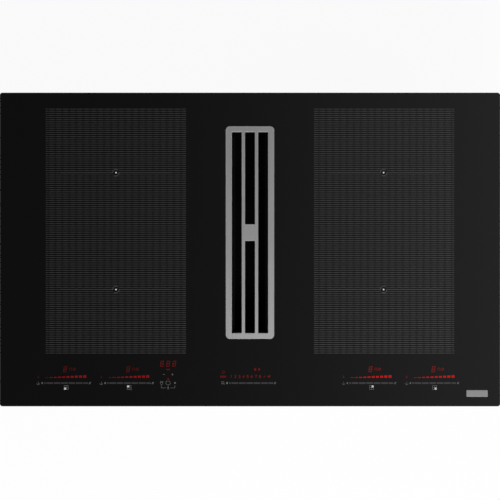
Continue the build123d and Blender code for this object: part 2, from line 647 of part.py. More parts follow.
with BuildPart() as plate_spacers:
    with BuildSketch(Plane((0, COIL_Y, FLOOR_Z))):
        with Locations((-COIL_X, 0), (COIL_X, 0)):
            with GridLocations(FIELD_W - 2 * SPACER_INSET, FIELD_D / 2 - SPACER_INSET, 2, 3):
                RegularPolygon(SPACER_R, 6)
    extrude(amount=COIL_PLATE_Z0 - FLOOR_Z)
save(plate_spacers, "plate_spacers")

# Coil formers with a recess for the winding and pockets for the ferrites, and the windings in them
for side, coil_x in COIL_SIDES:
    for row, coil_y in COIL_ROWS:
        with BuildPart() as coil_former:
            with BuildSketch(Plane((coil_x, coil_y, FORMER_Z0))):
                RectangleRounded(FORMER_W, FORMER_D, FORMER_CORNER_R)
            extrude(amount=FORMER_T)
            with BuildSketch(Plane((coil_x, coil_y, FORMER_Z1 - WINDING_T))):
                frame_sketch((WINDING_W, WINDING_D), WINDING_R,
                             (WINDING_EYE_W, WINDING_EYE_D), WINDING_EYE_D / 2 - SEAT_CLEARANCE)
            extrude(amount=WINDING_T, mode=Mode.SUBTRACT)
            with BuildSketch(Plane((coil_x, coil_y, FORMER_Z0))):
                with GridLocations(FERRITE_PITCH_X, FERRITE_PITCH_Y, 2, 3):
                    Rectangle(FERRITE_L + 2 * SEAT_CLEARANCE, FERRITE_W + 2 * SEAT_CLEARANCE)
            extrude(amount=FERRITE_T, mode=Mode.SUBTRACT)
            with BuildSketch(Plane((coil_x, coil_y, FORMER_Z0))):
                Circle(SENSOR_STEM_R + SENSOR_CLEARANCE)
            extrude(amount=FORMER_T, mode=Mode.SUBTRACT)
        save(coil_former, f"coil_former_{side}_{row}")

        with BuildPart() as coil_winding:
            with BuildSketch(Plane((coil_x, coil_y, FORMER_Z1 - WINDING_T))):
                frame_sketch((WINDING_W - 2 * SEAT_CLEARANCE, WINDING_D - 2 * SEAT_CLEARANCE), WINDING_R,
                             (WINDING_EYE_W + 2 * SEAT_CLEARANCE, WINDING_EYE_D + 2 * SEAT_CLEARANCE),
                             WINDING_EYE_D / 2)
            extrude(amount=WINDING_T)
        save(coil_winding, f"coil_winding_{side}_{row}")

with BuildPart() as ferrite_bars:
    with BuildSketch(Plane.XY.offset(FORMER_Z0)):
        with Locations(*COIL_SPOTS):
            with GridLocations(FERRITE_PITCH_X, FERRITE_PITCH_Y, 2, 3):
                Rectangle(FERRITE_L, FERRITE_W)
    extrude(amount=FERRITE_T)
save(ferrite_bars, "ferrite_bars")

# Temperature sensors pressed up against the glass, and the mats round them
with BuildPart() as coil_sensors:
    with BuildSketch(Plane.XY.offset(COIL_PLATE_Z0)):
        with Locations(*COIL_SPOTS):
            Circle(SENSOR_STEM_R)
    extrude(amount=GLASS_Z0 - COIL_PLATE_Z0)
    with BuildSketch(Plane.XY.offset(FORMER_Z1)):
        with Locations(*COIL_SPOTS):
            Circle(SENSOR_R)
    extrude(amount=MAT_T)
save(coil_sensors, "coil_sensors")

for side, coil_x in COIL_SIDES:
    with BuildPart() as insulation_mat:
        with BuildSketch(Plane((coil_x, COIL_Y, FORMER_Z1))):
            RectangleRounded(FORMER_W + 2 * MAT_MARGIN, COIL_PITCH + FORMER_D + 2 * MAT_MARGIN, MAT_MARGIN)
            with GridLocations(0, COIL_PITCH, 1, 2):
                Circle(SENSOR_R + SENSOR_CLEARANCE, mode=Mode.SUBTRACT)
        extrude(amount=MAT_T)
    save(insulation_mat, f"insulation_mat_{side}")

# Power boards on standoffs, each with a finned heat sink and its tall components
with BuildPart() as board_standoffs:
    with BuildSketch(Plane.XY.offset(FLOOR_Z)):
        with Locations((-BOARD_X, BOARD_Y), (BOARD_X, BOARD_Y)):
            with GridLocations(BOARD_W - 2 * STANDOFF_INSET, BOARD_D - 2 * STANDOFF_INSET, 2, 2):
                RegularPolygon(STANDOFF_R, 6)
    extrude(amount=STANDOFF_H)
save(board_standoffs, "board_standoffs")

for side, sign in BOARD_SIDES:
    with BuildPart() as power_board:
        with BuildSketch(Plane((sign * BOARD_X, BOARD_Y, BOARD_Z0))):
            Rectangle(BOARD_W, BOARD_D)
        extrude(amount=BOARD_T)
    save(power_board, f"power_board_{side}")

    with BuildPart() as heat_sink:
        with BuildSketch(Plane((sign * (BOARD_X + SINK_OFFSET_X), BOARD_Y, BOARD_Z1), (1, 0, 0), (0, -1, 0))):
            Rectangle(SINK_W, SINK_BASE_T, align=(Align.CENTER, Align.MIN))
            with GridLocations((SINK_W - SINK_FIN_T) / (SINK_FINS - 1), 0, SINK_FINS, 1):
                Rectangle(SINK_FIN_T, SINK_H, align=(Align.CENTER, Align.MIN))
        extrude(amount=SINK_L / 2, both=True)
    save(heat_sink, f"heat_sink_{side}")

    with BuildPart() as board_components:
        with BuildSketch(Plane((sign * (BOARD_X + CAPACITOR_OFFSET_X), BOARD_Y, BOARD_Z1))):
            with GridLocations(0, CAPACITOR_PITCH, 1, CAPACITORS):
                Circle(CAPACITOR_R)
        extrude(amount=CAPACITOR_H)
        with BuildSketch(Plane((sign * (BOARD_X + CHOKE_OFFSET_X), BOARD_Y + CHOKE_OFFSET_Y, BOARD_Z1))):
            Circle(CHOKE_R)
            Circle(CHOKE_BORE_R, mode=Mode.SUBTRACT)
        extrude(amount=CHOKE_H)
        with BuildSketch(Plane((sign * (BOARD_X + CHOKE_OFFSET_X), BOARD_Y - CHOKE_OFFSET_Y, BOARD_Z1))):
            with GridLocations(RELAY_PITCH, 0, RELAYS, 1):
                Rectangle(RELAY_W, RELAY_W)
        extrude(amount=RELAY_H)
    save(board_components, f"board_components_{side}")

# Cooling fans that draw air in through the tray floor
with BuildPart() as fan_blade:
    with BuildSketch(Plane((FAN_HUB_R - FAN_HUB_WALL / 2, 0, FAN_HUB_H / 2), (0, 1, 0), (1, 0, 0))):
        Rectangle(FAN_BLADE_CHORD, FAN_BLADE_T, rotation=FAN_BLADE_ROOT_ANGLE)
    with BuildSketch(Plane((FAN_BORE_R - FAN_TIP_GAP, 0, FAN_HUB_H / 2), (0, 1, 0), (1, 0, 0))):
        Rectangle(FAN_BLADE_CHORD, FAN_BLADE_T, rotation=FAN_BLADE_TIP_ANGLE)
    loft()

for side, fan_x in FAN_SIDES:
    with BuildPart() as fan_frame:
        with BuildSketch(Plane((fan_x, FAN_Y, FLOOR_Z))):
            RectangleRounded(FAN_SIZE, FAN_SIZE, FAN_CORNER_R)
            Circle(FAN_BORE_R, mode=Mode.SUBTRACT)
        extrude(amount=FAN_H)
        with BuildSketch(Plane((fan_x, FAN_Y, FLOOR_Z))):
            Circle(FAN_HUB_R)
            Rectangle(2 * FAN_BORE_R + FAN_WALL, FAN_SPOKE_W, rotation=45)
            Rectangle(2 * FAN_BORE_R + FAN_WALL, FAN_SPOKE_W, rotation=135)
        extrude(amount=FAN_SPOKE_T)
        with BuildSketch(Plane((fan_x, FAN_Y, FLOOR_Z + FAN_SPOKE_T))):
            Circle(FAN_PIN_R)
        extrude(amount=FAN_PIN_H)
    save(fan_frame, f"fan_frame_{side}")

    with BuildPart() as fan_rotor:
        with BuildSketch(Plane((fan_x, FAN_Y, FAN_ROTOR_Z0))):
            Circle(FAN_HUB_R)
        extrude(amount=FAN_HUB_H)
        with Locations((fan_x, FAN_Y, FAN_ROTOR_Z0)):
            with PolarLocations(0, FAN_BLADES):
                add(fan_blade.part)
        with BuildSketch(Plane((fan_x, FAN_Y, FAN_ROTOR_Z0))):
            Circle(FAN_HUB_R - FAN_HUB_WALL)
            Circle(FAN_BOSS_R, mode=Mode.SUBTRACT)
            Circle(FAN_PIN_R + FAN_FIT)
        extrude(amount=FAN_HUB_H - FAN_HUB_WALL, mode=Mode.SUBTRACT)
    save(fan_rotor, f"fan_rotor_{side}")

# Carrier that holds the control board up under the glass, on feet before and behind the case screws
CONTROL_LEG_PITCH = (CONTROL_W - CONTROL_LEG_W) / (CONTROL_LEGS - 1)
with BuildPart() as control_carrier:
    with BuildSketch(Plane((0, CONTROL_Y, CONTROL_Z0))):
        Rectangle(CONTROL_W, CONTROL_D)
    extrude(amount=CONTROL_DEPTH)
    with BuildSketch(Plane((0, CONTROL_Y, CONTROL_Z0 + CONTROL_WALL))):
        Rectangle(CONTROL_W - 2 * CONTROL_WALL, CONTROL_D - 2 * CONTROL_WALL)
    extrude(amount=CONTROL_DEPTH, mode=Mode.SUBTRACT)
    with BuildSketch(Plane((0, CONTROL_Y, FLOOR_Z))):
        with GridLocations(CONTROL_LEG_PITCH, CONTROL_D - CONTROL_LEG_D, CONTROL_LEGS, 2):
            Rectangle(CONTROL_LEG_W, CONTROL_LEG_D)
    extrude(amount=CONTROL_Z0 - FLOOR_Z)
    with BuildSketch(Plane((0, CONTROL_Y, CONTROL_Z0 + CONTROL_WALL))):
        with GridLocations(CONTROL_LEG_PITCH, 0, CONTROL_LEGS, 1):
            Rectangle(CONTROL_LEG_W / 2, CONTROL_D - CONTROL_WALL)
    extrude(amount=CONTROL_RIB_H)
save(control_carrier, "control_carrier")

with BuildPart() as control_board:
    with BuildSketch(Plane((0, CONTROL_Y, CONTROL_BOARD_Z0))):
        Rectangle(CONTROL_W - 2 * CONTROL_WALL - 2 * CONTROL_BOARD_CLEARANCE,
                  CONTROL_D - 2 * CONTROL_WALL - 2 * CONTROL_BOARD_CLEARANCE)
    extrude(amount=BOARD_T)
save(control_board, "control_board")

with BuildPart() as display_modules:
    with BuildSketch(Plane((0, CONTROL_Y, CONTROL_BOARD_Z1))):
        with Locations(*[(x, DISPLAY_OFFSET) for x in DISPLAY_XS]):
            Rectangle(DISPLAY_W, DISPLAY_D)
        with Locations((TIMER_X, TIMER_OFFSET)):
            Rectangle(TIMER_W, TIMER_D)
    extrude(amount=GLASS_Z0 - CONTROL_BOARD_Z1)
save(display_modules, "display_modules")

with BuildPart() as touch_pads:
    with BuildSketch(Plane((0, CONTROL_Y, CONTROL_BOARD_Z1))):
        with Locations(*[(x, SLIDER_OFFSET) for x in DISPLAY_XS]):
            SlotOverall(SLIDER_W, SLIDER_D)
        with Locations(*[(TIMER_X + x, y) for x, y in KEY_SPOTS]):
            Circle(KEY_R)
    extrude(amount=GLASS_Z0 - CONTROL_BOARD_Z1)
save(touch_pads, "touch_pads")

# Mains terminal inside the tray and the cable gland in its rear wall
with BuildPart() as terminal_block:
    with BuildSketch(Plane((TERMINAL_X, TERMINAL_Y, FLOOR_Z))):
        Rectangle(TERMINAL_W, TERMINAL_D)
    extrude(amount=TERMINAL_H)
    with BuildSketch(Plane((TERMINAL_X, TERMINAL_Y, FLOOR_Z + TERMINAL_H - TERMINAL_SCREW_DEPTH))):
        with GridLocations(TERMINAL_W / TERMINAL_WAYS, TERMINAL_D / 2, TERMINAL_WAYS, 2):
            Circle(TERMINAL_SCREW_R)
    extrude(amount=TERMINAL_SCREW_DEPTH, mode=Mode.SUBTRACT)
save(terminal_block, "terminal_block")

GLAND_WALL = Plane((TERMINAL_X, TRAY_D / 2, TRAY_Z1 - GLAND_DROP), (1, 0, 0), (0, -1, 0))
with BuildPart() as cable_gland:
    with BuildSketch(GLAND_WALL):
        Circle(GLAND_R)
    extrude(amount=-GLAND_FLANGE_T)
    chamfer(cable_gland.edges().group_by(Axis.Y)[-1], GLAND_EDGE_C)
    with BuildSketch(GLAND_WALL):
        Circle(GLAND_NECK_R)
    extrude(amount=SHEET_T)
    with BuildSketch(GLAND_WALL.offset(SHEET_T)):
        RegularPolygon(GLAND_R, 6)
    extrude(amount=GLAND_NUT_T)
    with BuildSketch(GLAND_WALL.offset(-GLAND_FLANGE_T)):
        Circle(GLAND_BORE_R)
    extrude(amount=GLAND_FLANGE_T + SHEET_T + GLAND_NUT_T, mode=Mode.SUBTRACT)
save(cable_gland, "cable_gland")

# Extractor case: four folded walls with pressed panels, a flange under the tray and the outlet at the back
CASE_PANELS = (
    (wall_plane(CASE_X, -CASE_D / 2, PANEL_Z, 0), FRONT_PANEL_W, 2),
    (wall_plane(CASE_X1, 0, PANEL_Z, 90), SIDE_PANEL_W, 2),
    (wall_plane((CASE_X0 + SPIGOT_SIDE_X) / 2, CASE_D / 2, PANEL_Z, 180), REAR_PANEL_W, 1),
    (wall_plane(CASE_X0, 0, PANEL_Z, 270), SIDE_PANEL_W, 2),
)
BASE_SCREW_PLANES = (
    wall_plane(CASE_X, -CASE_D / 2 - BASE_LIP_REACH, BASE_SCREW_Z, 180),
    wall_plane(CASE_X1 + BASE_LIP_REACH, 0, BASE_SCREW_Z, 270),
    wall_plane(CASE_X0 - BASE_LIP_REACH, 0, BASE_SCREW_Z, 90),
)
with BuildPart() as extractor_case:
    with BuildSketch(Plane((CASE_X, 0, CASE_Z0))):
        RectangleRounded(CASE_W, CASE_D, CASE_CORNER_R)
    extrude(amount=CASE_H)
    with BuildSketch(Plane((CASE_X, 0, TRAY_Z0 - CASE_T))):
        RectangleRounded(CASE_W + 2 * CASE_FLANGE, CASE_D + 2 * CASE_FLANGE, CASE_CORNER_R)
        with GridLocations(CASE_SCREW_X, CASE_SCREW_Y, 2, 3):
            Circle(SCREW_R + SCREW_CLEARANCE, mode=Mode.SUBTRACT)
    extrude(amount=CASE_T)
    with BuildSketch(Plane((CASE_X, 0, CASE_Z0))):
        RectangleRounded(CASE_W - 2 * CASE_T, CASE_D - 2 * CASE_T, CASE_CORNER_R - CASE_T)
    extrude(amount=CASE_H, mode=Mode.SUBTRACT)
    with BuildSketch(SPIGOT_FRONT):
        RectangleRounded(SPIGOT_IN_W, SPIGOT_IN_H, SPIGOT_CORNER_R - SPIGOT_WALL)
        with GridLocations(SPIGOT_SCREW_X, SPIGOT_SCREW_Z, 2, 2):
            Circle(SCREW_R + SCREW_CLEARANCE)
    extrude(amount=CASE_T, mode=Mode.SUBTRACT)
    for wall, panel_w, panels in CASE_PANELS:
        for depth, mode in ((0, Mode.ADD), (CASE_T, Mode.SUBTRACT)):
            with BuildSketch(wall.offset(-depth)):
                with GridLocations(panel_w + PANEL_MARGIN, 0, panels, 1):
                    RectangleRounded(panel_w - 2 * depth, PANEL_H - 2 * depth, PANEL_R - depth)
            extrude(amount=PANEL_RISE, taper=PRESS_TAPER, mode=mode)
    for wall in BASE_SCREW_PLANES:
        with BuildSketch(wall):
            with GridLocations(BASE_SCREW_PITCH, 0, 2, 1):
                Circle(SCREW_R + SCREW_CLEARANCE)
        extrude(amount=BASE_LIP_REACH + CASE_T, mode=Mode.SUBTRACT)
save(extractor_case, "extractor_case")

# Extractor base: a shallow lid under the case, with ribs that keep the drip pan in place
with BuildPart() as extractor_base:
    with BuildSketch(Plane((CASE_X, 0, BASE_Z0))):
        RectangleRounded(CASE_W + 2 * BASE_LIP_REACH, CASE_D + 2 * BASE_LIP_REACH,
                         CASE_CORNER_R + BASE_LIP_REACH)
    extrude(amount=BASE_LIP_H)
    with BuildSketch(Plane((CASE_X, 0, CASE_Z0))):
        RectangleRounded(CASE_W + 2 * BASE_LIP_GAP, CASE_D + 2 * BASE_LIP_GAP, CASE_CORNER_R + BASE_LIP_GAP)
    extrude(amount=BASE_LIP_H, mode=Mode.SUBTRACT)
    with BuildSketch(vent_plane(CASE_Z0)):
        frame_sketch((PAN_W + 2 * (PAN_RIB_GAP + PAN_RIB_T), PAN_L + 2 * (PAN_RIB_GAP + PAN_RIB_T)),
                     PAN_CORNER_R + PAN_RIB_GAP + PAN_RIB_T,
                     (PAN_W + 2 * PAN_RIB_GAP, PAN_L + 2 * PAN_RIB_GAP), PAN_CORNER_R + PAN_RIB_GAP)
    extrude(amount=PAN_RIB_H)
    for wall in BASE_SCREW_PLANES:
        with BuildSketch(wall):
            with GridLocations(BASE_SCREW_PITCH, 0, 2, 1):
                Circle(SCREW_R + SCREW_CLEARANCE)
        extrude(amount=BASE_T, mode=Mode.SUBTRACT)
save(extractor_base, "extractor_base")


def scroll_outline(grow):
    """Outline of the blower's air space, grown outwards, as a face in the open sketch."""
    def on_spiral(angle):
        turn = (angle - TONGUE_ANGLE) / (360 - TONGUE_ANGLE)
        radius = SCROLL_R_MIN + (SCROLL_R_MAX - SCROLL_R_MIN) * turn + grow
        return BLOWER_X + radius * cos(radians(angle)), BLOWER_Y + radius * sin(radians(angle))

    step = (360 - TONGUE_ANGLE) / SCROLL_ARCS
    mouth_left = (OUTLET_X - SCROLL_MOUTH_W / 2 - grow, MOUTH_Y)
    mouth_right = (on_spiral(360)[0], MOUTH_Y)
    with BuildLine() as outline:
        Line(mouth_left, on_spiral(TONGUE_ANGLE))
        for arc in range(SCROLL_ARCS):
            start = TONGUE_ANGLE + arc * step
            ThreePointArc(on_spiral(start), on_spiral(start + step / 2), on_spiral(start + step))
        Line(on_spiral(360), mouth_right)
        Line(mouth_right, mouth_left)
    make_face(outline.edges())


# Blower scroll: a body that stands on the base and opens to the back, and a lid with a bell mouth
with BuildPart() as scroll_body:
    with BuildSketch(Plane.XY.offset(CASE_Z0)):
        scroll_outline(SCROLL_WALL)
    extrude(amount=SCROLL_WALL + SCROLL_H)
    with BuildSketch(Plane.XY.offset(SCROLL_FLOOR_Z)):
        scroll_outline(0)
    extrude(amount=SCROLL_H, mode=Mode.SUBTRACT)
save(scroll_body, "scroll_body")

BLOWER_AXIS = Axis((BLOWER_X, BLOWER_Y, 0), (0, 0, 1))
BELL_R = INLET_BELL_R + SCROLL_WALL
with BuildPart() as scroll_lid:
    with BuildSketch(Plane.XY.offset(LID_Z0)):
        scroll_outline(SCROLL_WALL)
        with Locations((BLOWER_X, BLOWER_Y)):
            Circle(INLET_R + BELL_R, mode=Mode.SUBTRACT)
    extrude(amount=SCROLL_WALL)
    with BuildSketch(Plane((BLOWER_X, BLOWER_Y, LID_Z0 - INLET_BELL_R), (1, 0, 0), (0, -1, 0))):
        with Locations((INLET_R + BELL_R, 0)):
            Circle(BELL_R)
            Circle(INLET_BELL_R, mode=Mode.SUBTRACT)
            Rectangle(BELL_R, BELL_R, align=(Align.MAX, Align.MIN), mode=Mode.INTERSECT)
    revolve(axis=BLOWER_AXIS)
save(scroll_lid, "scroll_lid")


def around_blower(radius, angle):
    """A point at a radius and an angle, about the blower's axis."""
    return radius * cos(radians(angle)), radius * sin(radians(angle))


# Impeller: a cupped hub over the motor, forward-curved blades and a top ring
with BuildPart() as wheel_blade:
    with BuildSketch(Plane.XY.offset(WHEEL_Z0 + WHEEL_PLATE_T / 2)):
        with BuildLine():
            ThreePointArc(around_blower(WHEEL_INNER_R, 0),
                          Vector(*around_blower((WHEEL_INNER_R + WHEEL_R) / 2, WHEEL_BLADE_LEAN / 2))
                          - Vector(0, WHEEL_BLADE_BOW),
                          around_blower(WHEEL_R - WHEEL_BLADE_T, WHEEL_BLADE_LEAN))
        trace(line_width=WHEEL_BLADE_T)
    extrude(amount=WHEEL_H - WHEEL_PLATE_T / 2 - WHEEL_RING_T / 2)

with BuildPart() as impeller:
    with BuildSketch(Plane((BLOWER_X, BLOWER_Y, 0), (1, 0, 0), (0, -1, 0))):
        with BuildLine():
            Polyline((HUB_R, WHEEL_Z0), (WHEEL_R, WHEEL_Z0), (WHEEL_R, WHEEL_Z0 + WHEEL_PLATE_T),
                     (HUB_R + HUB_WALL, WHEEL_Z0 + WHEEL_PLATE_T), (HUB_TOP_R + HUB_WALL, HUB_Z1),
                     (HUB_BOSS_R, HUB_Z1), (HUB_BOSS_R, HUB_Z1 + HUB_BOSS_H),
                     (AXLE_R + SEAT_CLEARANCE, HUB_Z1 + HUB_BOSS_H),
                     (AXLE_R + SEAT_CLEARANCE, HUB_Z1 - HUB_WALL),
                     (HUB_TOP_R, HUB_Z1 - HUB_WALL), close=True)
        make_face()
        with Locations((WHEEL_R, WHEEL_Z1)):
            Rectangle(WHEEL_RING_W, WHEEL_RING_T, align=(Align.MAX, Align.MAX))
    revolve(axis=BLOWER_AXIS)
    with Locations((BLOWER_X, BLOWER_Y, 0)):
        with PolarLocations(0, WHEEL_BLADES):
            add(wheel_blade.part)
save(impeller, "impeller")

with BuildPart() as impeller_shaft:
    with BuildSketch(Plane((BLOWER_X, BLOWER_Y, MOTOR_Z1 - AXLE_TAIL))):
        Circle(AXLE_R)
    extrude(amount=HUB_Z1 + HUB_BOSS_H - MOTOR_Z1 + AXLE_TAIL)
save(impeller_shaft, "impeller_shaft")

# Blower motor on rubber dampers, with the bearing that carries the shaft
with BuildPart() as motor:
    with BuildSketch(Plane((BLOWER_X, BLOWER_Y, MOTOR_Z0))):
        Circle(MOTOR_FLANGE_R)
    extrude(amount=MOTOR_FLANGE_T)
    with BuildSketch(Plane((BLOWER_X, BLOWER_Y, MOTOR_Z0))):
        Circle(MOTOR_R)
    extrude(amount=MOTOR_FLANGE_T + MOTOR_H)
    fillet(motor.edges().group_by(Axis.Z)[-1], MOTOR_EDGE_R)
    with BuildSketch(Plane((BLOWER_X, BLOWER_Y, MOTOR_Z1 - BEARING_H))):
        Circle(BEARING_R + SEAT_CLEARANCE)
    extrude(amount=BEARING_H, mode=Mode.SUBTRACT)
    with BuildSketch(Plane((BLOWER_X, BLOWER_Y, MOTOR_Z1 - AXLE_TAIL - AXLE_END_GAP))):
        Circle(AXLE_WELL_R)
    extrude(amount=AXLE_TAIL + AXLE_END_GAP, mode=Mode.SUBTRACT)
save(motor, "motor")

with BuildPart() as motor_bearing:
    with BuildSketch(Plane((BLOWER_X, BLOWER_Y, MOTOR_Z1 - BEARING_H))):
        Circle(BEARING_R)
        Circle(AXLE_R + AXLE_FIT, mode=Mode.SUBTRACT)
    extrude(amount=BEARING_H)
save(motor_bearing, "motor_bearing")

with BuildPart() as motor_dampers:
    with BuildSketch(Plane((BLOWER_X, BLOWER_Y, SCROLL_FLOOR_Z))):
        with PolarLocations(DAMPER_CIRCLE_R, DAMPERS):
            Circle(DAMPER_R)
    extrude(amount=DAMPER_H)
save(motor_dampers, "motor_dampers")

# Outlet spigot screwed on behind the case, for a flat duct
with BuildPart() as outlet_spigot:
    with BuildSketch(SPIGOT_FRONT):
        RectangleRounded(SPIGOT_W + 2 * SPIGOT_FLANGE, SPIGOT_H + 2 * SPIGOT_FLANGE, SPIGOT_CORNER_R)
        with GridLocations(SPIGOT_SCREW_X, SPIGOT_SCREW_Z, 2, 2):
            Circle(SCREW_R + SCREW_CLEARANCE, mode=Mode.SUBTRACT)
    extrude(amount=-SPIGOT_FLANGE_T)
    with BuildSketch(SPIGOT_FRONT):
        RectangleRounded(SPIGOT_W, SPIGOT_H, SPIGOT_CORNER_R)
    extrude(amount=-SPIGOT_L)
    chamfer(outlet_spigot.edges().group_by(Axis.Y)[-1], SPIGOT_EDGE_C)
    for ridge in range(1, SPIGOT_RIDGES + 1):
        with BuildSketch(SPIGOT_REAR.offset(-ridge * SPIGOT_RIDGE_PITCH)):
            RectangleRounded(SPIGOT_W + 2 * SPIGOT_RIDGE_RISE, SPIGOT_H + 2 * SPIGOT_RIDGE_RISE,
                             SPIGOT_CORNER_R + SPIGOT_RIDGE_RISE)
        extrude(amount=-SPIGOT_RIDGE_W)
    with BuildSketch(SPIGOT_FRONT):
        RectangleRounded(SPIGOT_IN_W, SPIGOT_IN_H, SPIGOT_CORNER_R - SPIGOT_WALL)
    extrude(amount=-SPIGOT_L, mode=Mode.SUBTRACT)
save(outlet_spigot, "outlet_spigot")

# Clamps on the tray's sides that hold the cooktop down from under the worktop
CLAMP_Z0 = TRAY_Z1 - CLAMP_DROP
CLAMP_SCREW_X = TRAY_W / 2 + (CLAMP_REACH + CLAMP_T) / 2
with BuildPart() as worktop_clamps:
    for side in (-1, 1):
        for clamp_y in (-CLAMP_Y, CLAMP_Y):
            with BuildSketch(Plane((side * TRAY_W / 2, clamp_y, CLAMP_Z0), (side, 0, 0), (0, -side, 0))):
                Rectangle(CLAMP_REACH, CLAMP_T, align=(Align.MIN, Align.MIN))
                Rectangle(CLAMP_T, CLAMP_H, align=(Align.MIN, Align.MIN))
            extrude(amount=CLAMP_W / 2, both=True)
    with BuildSketch(Plane.XY.offset(CLAMP_Z0)):
        with GridLocations(2 * CLAMP_SCREW_X, 2 * CLAMP_Y, 2, 2):
            Circle(SCREW_R + SCREW_CLEARANCE)
    extrude(amount=CLAMP_T, mode=Mode.SUBTRACT)
save(worktop_clamps, "worktop_clamps")

# Screws: up through the clamps and the case flange, and in through the spigot flange and the base's lip
def save_screws(name, planes, pitch_x, pitch_y, rows, length):
    """Two columns of hexagon-headed screws with their heads below each plane, in one file."""
    with BuildPart() as screws:
        for plane in planes:
            with BuildSketch(plane):
                with GridLocations(pitch_x, pitch_y, 2, rows):
                    Circle(SCREW_R)
            extrude(amount=length)
            with BuildSketch(plane):
                with GridLocations(pitch_x, pitch_y, 2, rows):
                    RegularPolygon(SCREW_HEAD_R, 6)
            extrude(amount=-SCREW_HEAD_H)
    save(screws, name)


save_screws("clamp_screws", [Plane.XY.offset(CLAMP_Z0)], 2 * CLAMP_SCREW_X, 2 * CLAMP_Y, 2,
            CLAMP_SCREW_L + CLAMP_T)
save_screws("case_screws", [Plane((CASE_X, 0, TRAY_Z0 - CASE_T))], CASE_SCREW_X, CASE_SCREW_Y, 3, CASE_SCREW_L)
save_screws("spigot_screws", [SPIGOT_REAR], SPIGOT_SCREW_X, SPIGOT_SCREW_Z, 2, SPIGOT_SCREW_L)
save_screws("base_screws", BASE_SCREW_PLANES, BASE_SCREW_PITCH, 0, 1, CASE_SCREW_L)
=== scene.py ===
"""Finishes, glass prints, lit displays and stage for a venting induction cooktop.

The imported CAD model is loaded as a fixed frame. Each operator dresses or adds one group of pieces on it.
"""

import math

import bmesh
import bpy
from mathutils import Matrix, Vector


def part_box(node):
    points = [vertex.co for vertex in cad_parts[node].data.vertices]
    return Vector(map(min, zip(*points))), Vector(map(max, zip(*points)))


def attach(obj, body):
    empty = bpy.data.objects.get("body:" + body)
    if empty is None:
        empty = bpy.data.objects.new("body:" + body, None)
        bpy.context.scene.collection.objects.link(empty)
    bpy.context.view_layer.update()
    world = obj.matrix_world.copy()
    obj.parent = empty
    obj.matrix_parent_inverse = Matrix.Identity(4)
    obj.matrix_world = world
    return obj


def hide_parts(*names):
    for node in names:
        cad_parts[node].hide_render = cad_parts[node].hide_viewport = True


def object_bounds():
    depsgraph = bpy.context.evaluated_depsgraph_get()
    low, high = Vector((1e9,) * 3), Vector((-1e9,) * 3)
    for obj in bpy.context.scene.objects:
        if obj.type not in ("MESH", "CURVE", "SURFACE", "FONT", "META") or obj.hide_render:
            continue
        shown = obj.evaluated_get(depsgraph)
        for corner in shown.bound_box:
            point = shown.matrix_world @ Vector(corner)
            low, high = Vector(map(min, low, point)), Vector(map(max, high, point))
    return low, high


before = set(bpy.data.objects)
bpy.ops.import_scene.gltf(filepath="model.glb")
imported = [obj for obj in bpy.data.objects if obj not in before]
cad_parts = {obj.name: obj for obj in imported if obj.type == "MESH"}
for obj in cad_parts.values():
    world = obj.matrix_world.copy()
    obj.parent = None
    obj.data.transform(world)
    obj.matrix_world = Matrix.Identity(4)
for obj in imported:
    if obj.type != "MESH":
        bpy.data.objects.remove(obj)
CAD_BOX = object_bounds()

bl_info = {
    "name": "Venting induction cooktop",
    "version": (1, 0, 0),
    "blender": (4, 5, 0),
    "location": "View3D > Sidebar > Cooktop",
    "description": "Dresses the cooktop's CAD pieces and adds its prints, displays and stage",
    "category": "Object",
}

MM = 0.001
GLASS_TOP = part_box("glass_top")[1].z
FLOOR_LEVEL = CAD_BOX[0].z - 0.5 * MM
SIDES = ("left", "right")
ROWS = ("front", "rear")
# How bright the lamps on each part of the panel are.
LAMP_LEVELS = {"left": 0.70, "middle": 1.0, "right": 1.75}
# Refraction of the glass, and of the enamels that shine more than it does.
GLASS_IOR = 1.52
STRIPE_LUSTRE = 2.4
SLIDER_LUSTRE = 1.85
# How far a print lies in the glass and stands out of it.
PRINT_SINK = 0.02 * MM
PRINT_RISE = 0.05 * MM
SHORTEST_DASH = 0.3 * MM
# Degrees between which the two arcs of a zone's ring run.
RING_ARCS = ((188, 48), (228, 368))


def length(label, words, size):
    """A length property; size is in millimetres."""
    return bpy.props.FloatProperty(
        name=label, description=words, default=size * MM, precision=5, unit="LENGTH", subtype="DISTANCE"
    )


def colour(label, words, red, green, blue):
    """A colour property; the parts are linear."""
    return bpy.props.FloatVectorProperty(
        name=label, description=words, default=(red, green, blue, 1), size=4, min=0, max=1, subtype="COLOR"
    )


def factor(label, words, share):
    """A property between nothing and all."""
    return bpy.props.FloatProperty(
        name=label, description=words, default=share, min=0, max=1, subtype="FACTOR"
    )


